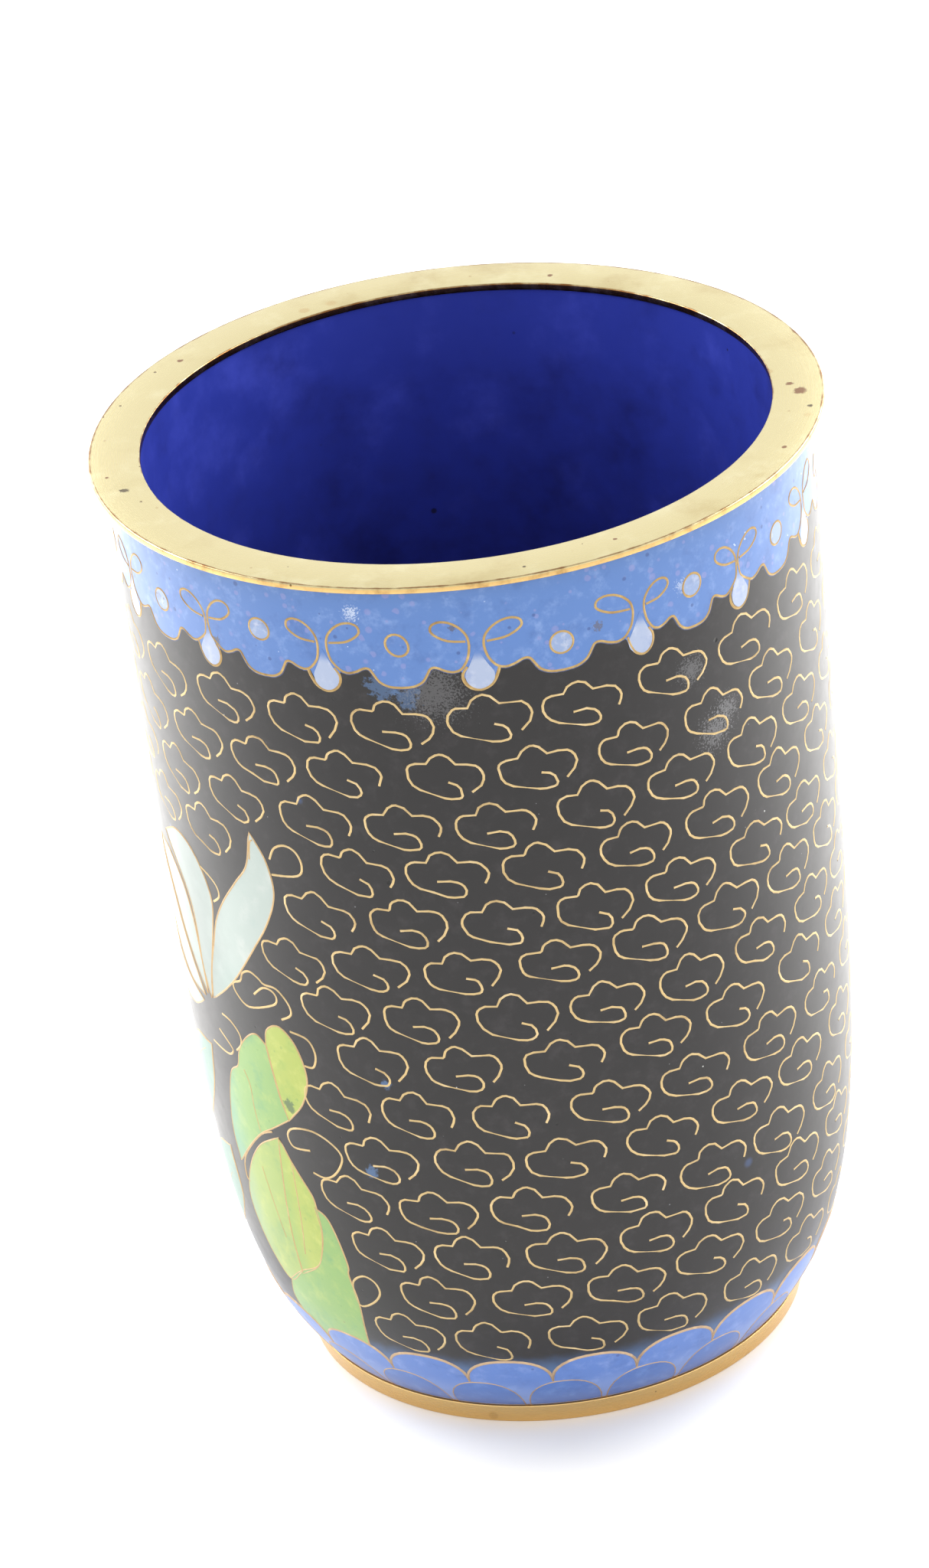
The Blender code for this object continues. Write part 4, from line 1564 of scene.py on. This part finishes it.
    def build(self, bench: Workbench, effects: Effects) -> None:
        """Build a patch of glass for each cell, and all the wires of the spray.

        Args:
            bench: Makes the pieces.
            effects: The shared node groups.
        """
        finishes = self.finishes(effects)
        bed = WireBed(self.form, self.wire)
        for i, cell in enumerate(self.cells):
            outline = self.outline(cell)
            bm = bmesh.new()
            bench.patch(bm, widened(outline, self.spread), self.lift + self.lift_step * i)
            material, slot = finishes[cell.tone]
            bench.piece(cell.node + "_glass", bm, material, slot, [cell.node], self.thickness)
            bed.lay(polar(widened(outline, self.wire_out)), closed=True)
        for vein in self.veins:
            bed.lay(stroke(vein))
        wire = Brass(
            "spray_wire", base=(0.49, 0.345, 0.185), light=(0.60, 0.44, 0.26), dark=(0.35, 0.235, 0.135),
            mottle_size=1.0 * MM, roughness=0.42)
        bench.piece("spray_wires", bed.finished(), wire.build(effects), Slot.BRASS)


@dataclass(frozen=True)
class CloudGround:
    """The black field with its rows of cloud wires.

    A row is its height in millimetres and the angle of its cloud nearest the
    front. Clouds that are left out or added are given in the same way. A cloud
    is drawn in shares of its width and height. The strokes beside the lily are
    in degrees and millimetres of height.
    """

    form: CupForm
    spray: LilySpray
    rows: tuple[Polar, ...] = (
        (54.3, -0.2), (50.6, 6.9), (47.1, -0.6), (43.7, 6.2), (40.2, -1.8), (36.9, 6.2), (33.3, -1.8),
        (29.9, 5.4), (26.3, -4.0), (22.7, 4.5), (19.0, -2.6), (15.5, 2.5), (12.1, -4.9), (8.5, 4.5))
    cloud_spacing: float = 6.03 * MM
    cloud_width: float = 5.15 * MM
    cloud_height: float = 3.30 * MM
    cloud: tuple[Polar, ...] = (
        (0.38, 0.65), (0.53, 0.64), (0.65, 0.71), (0.70, 0.86), (0.68, 0.97), (0.60, 1.00), (0.48, 0.98),
        (0.32, 0.89), (0.17, 0.81), (0.07, 0.69), (0.02, 0.49), (0.04, 0.31), (0.13, 0.23), (0.27, 0.24),
        (0.32, 0.10), (0.43, 0.02), (0.54, 0.08), (0.63, 0.25), (0.77, 0.25), (0.90, 0.31), (0.975, 0.51),
        (0.93, 0.71), (0.825, 0.86))
    strokes: tuple[tuple[Polar, ...], ...] = (
        ((-41.8, 43.4), (-40.5, 44.3), (-38.2, 44.7), (-36.1, 44.4), (-35.2, 43.5), (-36.4, 42.7),
         (-41.8, 42.3)),
        ((-61.8, 40.3), (-58.8, 40.0), (-56.8, 39.5), (-56.6, 38.8), (-58.5, 38.2)),
        ((-50.6, 32.6), (-48.0, 33.4), (-45.8, 33.4), (-45.0, 32.9), (-46.4, 32.3), (-52.5, 31.4),
         (-55.6, 31.9), (-56.3, 32.6), (-54.0, 33.1), (-53.0, 33.8), (-51.0, 34.2), (-49.0, 34.0),
         (-47.6, 33.7), (-44.8, 33.7), (-42.5, 32.9), (-42.2, 32.1), (-44.5, 31.5)),
        ((-43.0, 30.8), (-39.4, 30.6), (-38.1, 29.6), (-38.9, 28.6), (-40.8, 28.5)),
        ((-42.8, 21.9), (-46.8, 21.7), (-47.8, 22.5), (-46.0, 23.2), (-41.5, 23.5), (-37.8, 23.0),
         (-35.9, 22.1), (-37.6, 20.8), (-40.2, 20.1), (-43.0, 20.2)),
        ((-64.2, 27.9), (-61.0, 27.3), (-60.2, 26.9), (-62.2, 26.4), (-67.8, 26.4)),
        ((-62.0, 29.4), (-59.3, 29.3), (-57.0, 28.7), (-57.0, 27.9), (-58.8, 27.2)),
    )
    small_round: tuple[Polar, ...] = (
        (-39.4, 11.8), (-36.6, 12.7), (-34.2, 12.4), (-33.7, 11.5), (-35.9, 10.5), (-39.2, 10.0))
    left_out: tuple[Polar, ...] = ((33.3, -48.8), (29.9, -41.6), (22.7, -42.4), (12.1, -36.6), (43.7, -40.8))
    added: tuple[Polar, ...] = ((36.3, -40.0), (26.1, -35.2))
    left_out_reach: Polar = (1.0, 6.0)
    wire: Gauge = Gauge(width=0.190 * MM)
    tolerance: float = 0.038 * MM
    lean: float = 5.0
    widths: tuple[float, float] = (0.95, 1.05)
    heights: tuple[float, float] = (0.94, 1.06)
    tremble: float = 0.03
    stray: tuple[float, float] = (0.6, 0.15)
    under_lappets: float = 2.6 * MM
    under_collar: float = 0.6 * MM
    straight_step: float = 3.0 * MM
    thickness: float = 0.45 * MM
    columns: int = 240
    seed: int = 5

    def path(self, angle: float, height: float, rng: random.Random) -> list[Polar]:
        """Shape one cloud.

        Args:
            angle: Degrees of its centre.
            height: Height of its centre.
            rng: Source of the small differences that a hand makes.

        Returns:
            Degrees and heights along its wire.
        """
        turn = math.radians(rng.uniform(-self.lean, self.lean))
        cos, sin = math.cos(turn), math.sin(turn)
        wide = self.cloud_width * rng.uniform(*self.widths)
        tall = self.cloud_height * rng.uniform(*self.heights)
        start = rng.choice((0, 0, 1))
        end = rng.choice((0, 0, 1))
        points = []
        for x, y in self.cloud[start:len(self.cloud) - end]:
            along = (x - 0.5) * wide + rng.uniform(-self.tremble, self.tremble) * MM
            up = (0.5 - y) * tall + rng.uniform(-self.tremble, self.tremble) * MM
            points.append(Vector((along * cos - up * sin, along * sin + up * cos)))
        line = thinned(flowing(points, STROKE_STEPS), self.tolerance)
        return [self.form.step(angle, height, point.x, point.y) for point in line]

    def is_left_out(self, height: float, angle: float) -> bool:
        """Say whether the real cup has another stroke in the place of this cloud."""
        high, wide = self.left_out_reach
        return any(abs(height / MM - row) < high and abs(angle - at) < wide for row, at in self.left_out)

    def add_wires(self, bench: Workbench, effects: Effects) -> None:
        """Lay the rows of clouds and the odd strokes beside the lily.

        Args:
            bench: Makes the pieces.
            effects: The shared node groups.
        """
        rng = random.Random(self.seed)
        bed = WireBed(self.form, self.wire)
        aside, upwards = self.stray
        for level, first in self.rows:
            height = level * MM
            count = round(math.tau * self.form.radius(height) / self.cloud_spacing)
            for i in range(count):
                angle = first + FULL_TURN * i / count
                angle = (angle + FULL_TURN / 2) % FULL_TURN - FULL_TURN / 2
                centre = angle + rng.uniform(-aside, aside), height + rng.uniform(-upwards, upwards) * MM
                path = self.path(*centre, rng)
                if not self.is_left_out(height, angle) and not any(self.spray.covers(at) for at in path):
                    bed.lay(path)
        for level, angle in self.added:
            bed.lay(self.path(angle, level * MM, rng))
        for points in self.strokes:
            bed.lay(stroke(points))
        bed.lay(stroke(self.small_round, closed=True), closed=True)
        finish = Brass(
            "cloud_wire", base=(0.54, 0.40, 0.20), light=(0.67, 0.52, 0.295), dark=(0.34, 0.235, 0.12),
            mottle_size=1.6 * MM, roughness=0.40)
        bench.piece("cloud_wires", bed.finished(), finish.build(effects), Slot.BRASS)

    def add_glass(self, bench: Workbench, effects: Effects) -> None:
        """Build the black glass under the wires.

        Args:
            bench: Makes the pieces.
            effects: The shared node groups.
        """
        form = self.form
        smear, dust, hole = (0.09, 0.18, 0.36), (0.22, 0.22, 0.23), (0.001, 0.001, 0.001)
        fine = 0.12 * MM
        top = form.lappet_top
        finish = Glaze(
            "black_glass", base=(0.0090, 0.0078, 0.0085), light=(0.022, 0.019, 0.021),
            dark=(0.006, 0.0055, 0.006), mottle_size=1.1 * MM,
            marks=(
                Marks(hole, 1.5 * MM, 0.16, 0.075, 1.0, 0.03 * MM),
                Marks(hole, 3.6 * MM, 0.16, 0.075, 1.0, 0.05 * MM),
                Marks((0.16, 0.16, 0.17), 0.9 * MM, 0.14, 0.055, 0.8),
                Marks((0.50, 0.50, 0.48), 1.9 * MM, 0.20, 0.034, 0.9),
                Marks((0.030, 0.055, 0.13), 4.2 * MM, 0.07, 0.10, 0.8),
            ),
            stains=(
                Stain(smear, form.place(-16.4, 56.9 * MM), 1.1 * MM, 3.2, 0.45),
                Stain(smear, form.place(-12.6, 56.2 * MM), 0.9 * MM, 3.4, 0.40),
                Stain(dust, form.place(-8.4, 56.4 * MM), 1.7 * MM, 6.0, 0.28, fine),
                Stain(dust, form.place(38.2, 49.2 * MM), 1.0 * MM, 6.5, 0.45, fine),
                Stain(dust, form.place(41.0, 50.2 * MM), 0.8 * MM, 6.5, 0.45, fine),
                Stain(dust, form.place(34.5, 54.0 * MM), 0.8 * MM, 6.5, 0.35, fine),
                Stain(smear, form.place(-25.0, 28.4 * MM), 0.42 * MM, 2.0, 0.6),
                Stain(smear, form.place(-30.2, 21.5 * MM), 0.48 * MM, 2.0, 0.6),
            ),
            fades=(Fade((0.060, 0.125, 0.270), Way.UP, top + 0.7 * MM, top - 1.3 * MM, 0.9),))
        low, high = top - self.under_lappets, form.cusps + self.under_collar
        levels = [(z - low) / (high - low) for z in form.levels(low, high, self.straight_step)]
        angles = [FULL_TURN * i / self.columns for i in range(self.columns + 1)]
        bm = bench.sheet(angles, levels, lambda angle: low, lambda angle: high, 0.0)
        bench.piece("black_glass", bm, finish.build(effects), Slot.BLACK, ["ground_enamel"], self.thickness)

    def build(self, bench: Workbench, effects: Effects) -> None:
        """Build the glass and its wires."""
        self.add_glass(bench, effects)
        self.add_wires(bench, effects)


@dataclass(frozen=True)
class LappetBand:
    """Two overlapping rows of rounded blue lappets above the foot."""

    form: CupForm
    repeats: int = 21
    upper_turn: float = 5.5
    lower_turn: float = -1.0
    upper_arch: float = 2.2 * MM
    lower_top: float = 4.25 * MM
    lower_share: float = 0.93
    fullness: float = 2.3
    lift: float = 0.046 * MM
    lift_step: float = 0.012 * MM
    thickness: float = 0.40 * MM
    fine_slice: float = 0.5 * MM
    wire: Gauge = Gauge(width=0.30 * MM, rise=0.078 * MM)
    foot_line_up: float = 0.10 * MM
    foot_line_steps: int = 120
    just_inside: float = 0.9999
    columns_each: int = 20
    steps: int = 16

    @property
    def half(self) -> float:
        """Half of the degrees that a lappet takes."""
        return FULL_TURN / self.repeats / 2

    def arch(self, share: float) -> float:
        """Height of an arch, from 0 at its feet to 1, at a share of its half width."""
        return max(0.0, 1.0 - abs(share) ** self.fullness) ** (1.0 / self.fullness)

    def upper_edge(self, angle: float) -> float:
        """Height of the band's arched upper edge at an angle."""
        share = ((angle - self.upper_turn + self.half) % (2 * self.half) - self.half) / self.half
        return self.form.lappet_top - self.upper_arch * (1.0 - self.arch(share))

    def lower_outline(self, index: int) -> list[Polar]:
        """Outline of a lower lappet, from its left foot over the top to its right foot.

        Args:
            index: Which lappet of the row.

        Returns:
            Degrees and heights.
        """
        centre = self.lower_turn + index * 2 * self.half
        wide = self.half * self.lower_share
        foot = self.form.foot_height
        rise = self.lower_top - foot
        return [(centre + share * wide, foot + rise * self.arch(share)) for share in arch_shares(self.steps)]

    def add_glass(self, bench: Workbench, effects: Effects) -> None:
        """Build the upper row as one band, and the lower lappets on it.

        Args:
            bench: Makes the pieces.
            effects: The shared node groups.
        """
        form = self.form
        upper = Glaze(
            "upper_lappet_glass", base=(0.090, 0.178, 0.47), light=(0.18, 0.27, 0.56),
            dark=(0.062, 0.130, 0.37), mottle_size=1.3 * MM,
            marks=(Marks((0.04, 0.06, 0.20), 1.1 * MM, 0.12, 0.12, 0.6),),
            fades=(Fade((0.20, 0.29, 0.56), Way.UP, 4.6 * MM, 3.0 * MM, 0.5),))
        lower = Glaze(
            "lower_lappet_glass", base=(0.060, 0.142, 0.41), light=(0.11, 0.21, 0.49),
            dark=(0.045, 0.105, 0.33), mottle_size=1.3 * MM,
            marks=(Marks((0.04, 0.04, 0.12), 1.1 * MM, 0.12, 0.12, 0.6),))
        count = self.repeats * self.columns_each
        angles = [self.upper_turn - FULL_TURN / 2 + FULL_TURN * i / count for i in range(count + 1)]
        levels = [i / self.steps for i in range(self.steps + 1)]
        band = bench.sheet(angles, levels, lambda angle: form.foot_height, self.upper_edge, self.lift)
        bench.piece("upper_lappets", band, upper.build(effects), Slot.LAPPET, ["lappet_enamel"],
                    self.thickness)
        bm = bmesh.new()
        for index in range(self.repeats):
            outline = flattened(self.lower_outline(index))
            bench.patch(bm, outline, self.lift + self.lift_step, self.fine_slice)
        bench.piece("lower_lappets", bm, lower.build(effects), Slot.LAPPET, thickness=self.thickness / 2)

    def add_wires(self, bench: Workbench, effects: Effects) -> None:
        """Lay the wires of both rows, and the line above the foot that they end on.

        Args:
            bench: Makes the pieces.
            effects: The shared node groups.
        """
        bed = WireBed(self.form, self.wire)
        foot_line = self.form.foot_height + self.foot_line_up
        turn = FULL_TURN / self.foot_line_steps
        bed.lay([(turn * i, foot_line) for i in range(self.foot_line_steps)], closed=True)
        for index in range(self.repeats):
            centre = self.upper_turn + index * 2 * self.half
            aside = [share * self.half for share in arch_shares(self.steps)]
            bed.lay([(centre + away, self.upper_edge(centre + away * self.just_inside)) for away in aside])
            bed.lay(self.lower_outline(index))
        finish = Brass(
            "lappet_wire", base=(0.47, 0.34, 0.22), light=(0.60, 0.45, 0.31), dark=(0.33, 0.23, 0.17),
            mottle_size=0.9 * MM, roughness=0.45)
        bench.piece("lappet_wires", bed.finished(), finish.build(effects), Slot.BRASS)

    def build(self, bench: Workbench, effects: Effects) -> None:
        """Build the glass and the wires."""
        self.add_glass(bench, effects)
        self.add_wires(bench, effects)


@dataclass(frozen=True)
class Studio:
    """A pale floor, soft light all round and the camera."""

    floor_radius: float = 1.6
    floor_steps: int = 96
    floor_colour: Colour = (0.95, 0.94, 0.925)
    floor_grain: float = 0.985
    floor_scale: float = 40.0
    floor_roughness: float = 0.8
    floor_gloss: float = 0.2
    low_sky: float = 1.52
    high_sky: float = 0.88
    sky_turn: tuple[float, float] = (0.40, 0.98)
    right_share: float = 0.12
    panel_place: tuple[float, float, float] = (0.12, 0.075, 0.13)
    panel_size: float = 0.14
    panel_power: float = 0.50
    camera_place: tuple[float, float, float] = (0.0, -0.38750, 0.24714)
    yaw: float = -0.317
    pitch: float = 28.325
    roll: float = -6.869
    image_height: float = 2048.0
    focal_pixels: float = 9000.0
    sensor: float = 36.0

    def add_floor(self) -> None:
        """Lay the floor."""
        bm = bmesh.new()
        bmesh.ops.create_circle(bm, cap_ends=True, segments=self.floor_steps, radius=self.floor_radius)
        mesh = bpy.data.meshes.new("floor")
        bm.to_mesh(mesh)
        bm.free()
        material = bpy.data.materials.new("pale_card")
        material.use_nodes = True
        writer = NodeWriter(material.node_tree)
        shader = material.node_tree.nodes["Principled BSDF"]
        grain = writer.noise(writer.coordinates(), self.floor_scale, detail=4.0)
        darker = tuple(part * self.floor_grain for part in self.floor_colour)
        writer.feed(shader.inputs["Base Color"], writer.mix(grain, self.floor_colour, darker))
        shader.inputs["Roughness"].default_value = self.floor_roughness
        shader.inputs["Specular IOR Level"].default_value = self.floor_gloss
        mesh.materials.append(material)
        floor = bpy.data.objects.new("floor", mesh)
        bpy.context.scene.collection.objects.link(floor)

    def add_light(self) -> None:
        """Light the cup from all round, and more from both sides behind it."""
        world = bpy.data.worlds.new("studio")
        world.use_nodes = True
        writer = NodeWriter(world.node_tree)
        background = world.node_tree.nodes["Background"]
        background.inputs["Color"].default_value = (1.0, 1.0, 1.0, 1.0)
        ahead = writer.add("ShaderNodeTexCoord").outputs["Generated"]
        parts = writer.add("ShaderNodeSeparateXYZ", {0: ahead})
        high = writer.ramp(parts.outputs["Z"], *self.sky_turn)
        fall = writer.math("MULTIPLY", high, self.high_sky - self.low_sky)
        sky = writer.math("ADD", fall, self.low_sky)
        side = writer.math("ADD", writer.math("MULTIPLY", parts.outputs["X"], self.right_share), 1.0)
        writer.feed(background.inputs["Strength"], writer.math("MULTIPLY", sky, side))
        bpy.context.scene.world = world
        x, y, z = self.panel_place
        for side in Side:
            light = bpy.data.lights.new(f"{side.name.lower()}_panel", "AREA")
            light.shape = "SQUARE"
            light.size = self.panel_size
            light.energy = self.panel_power
            lamp = bpy.data.objects.new(light.name, light)
            lamp.location = (x * side.value, y, z)
            lamp.visible_camera = False
            bpy.context.scene.collection.objects.link(lamp)

    def add_camera(self) -> None:
        """Set the camera where the photograph was taken from."""
        yaw, pitch, roll = (math.radians(part) for part in (self.yaw, self.pitch, self.roll))
        ahead = Vector((math.sin(yaw) * math.cos(pitch), math.cos(yaw) * math.cos(pitch), -math.sin(pitch)))
        level = ahead.cross(Vector((0, 0, 1))).normalized()
        above = level.cross(ahead)
        right = level * math.cos(roll) + above * math.sin(roll)
        up = above * math.cos(roll) - level * math.sin(roll)
        data = bpy.data.cameras.new("camera")
        data.sensor_width = self.sensor
        data.lens = self.focal_pixels / self.image_height * self.sensor
        camera = bpy.data.objects.new("camera", data)
        camera.matrix_world = Matrix((
            (right.x, up.x, -ahead.x, self.camera_place[0]),
            (right.y, up.y, -ahead.y, self.camera_place[1]),
            (right.z, up.z, -ahead.z, self.camera_place[2]),
            (0.0, 0.0, 0.0, 1.0)))
        bpy.context.scene.collection.objects.link(camera)
        bpy.context.scene.camera = camera

    def build(self) -> None:
        """Set the stage."""
        self.add_floor()
        self.add_light()
        self.add_camera()
        bpy.context.scene.view_settings.view_transform = "Standard"


def main() -> None:
    """Build the cup and set the stage."""
    logging.basicConfig(level=logging.INFO, format="%(name)s: %(message)s")
    form = CupForm.from_frame()
    bench = Workbench(form)
    effects = Effects()
    spray = LilySpray(form)
    for assembly in (Vessel(form), Collar(form), CloudGround(form, spray), spray, LappetBand(form)):
        assembly.build(bench, effects)
    Studio().build()


if __name__ == "__main__":
    main()
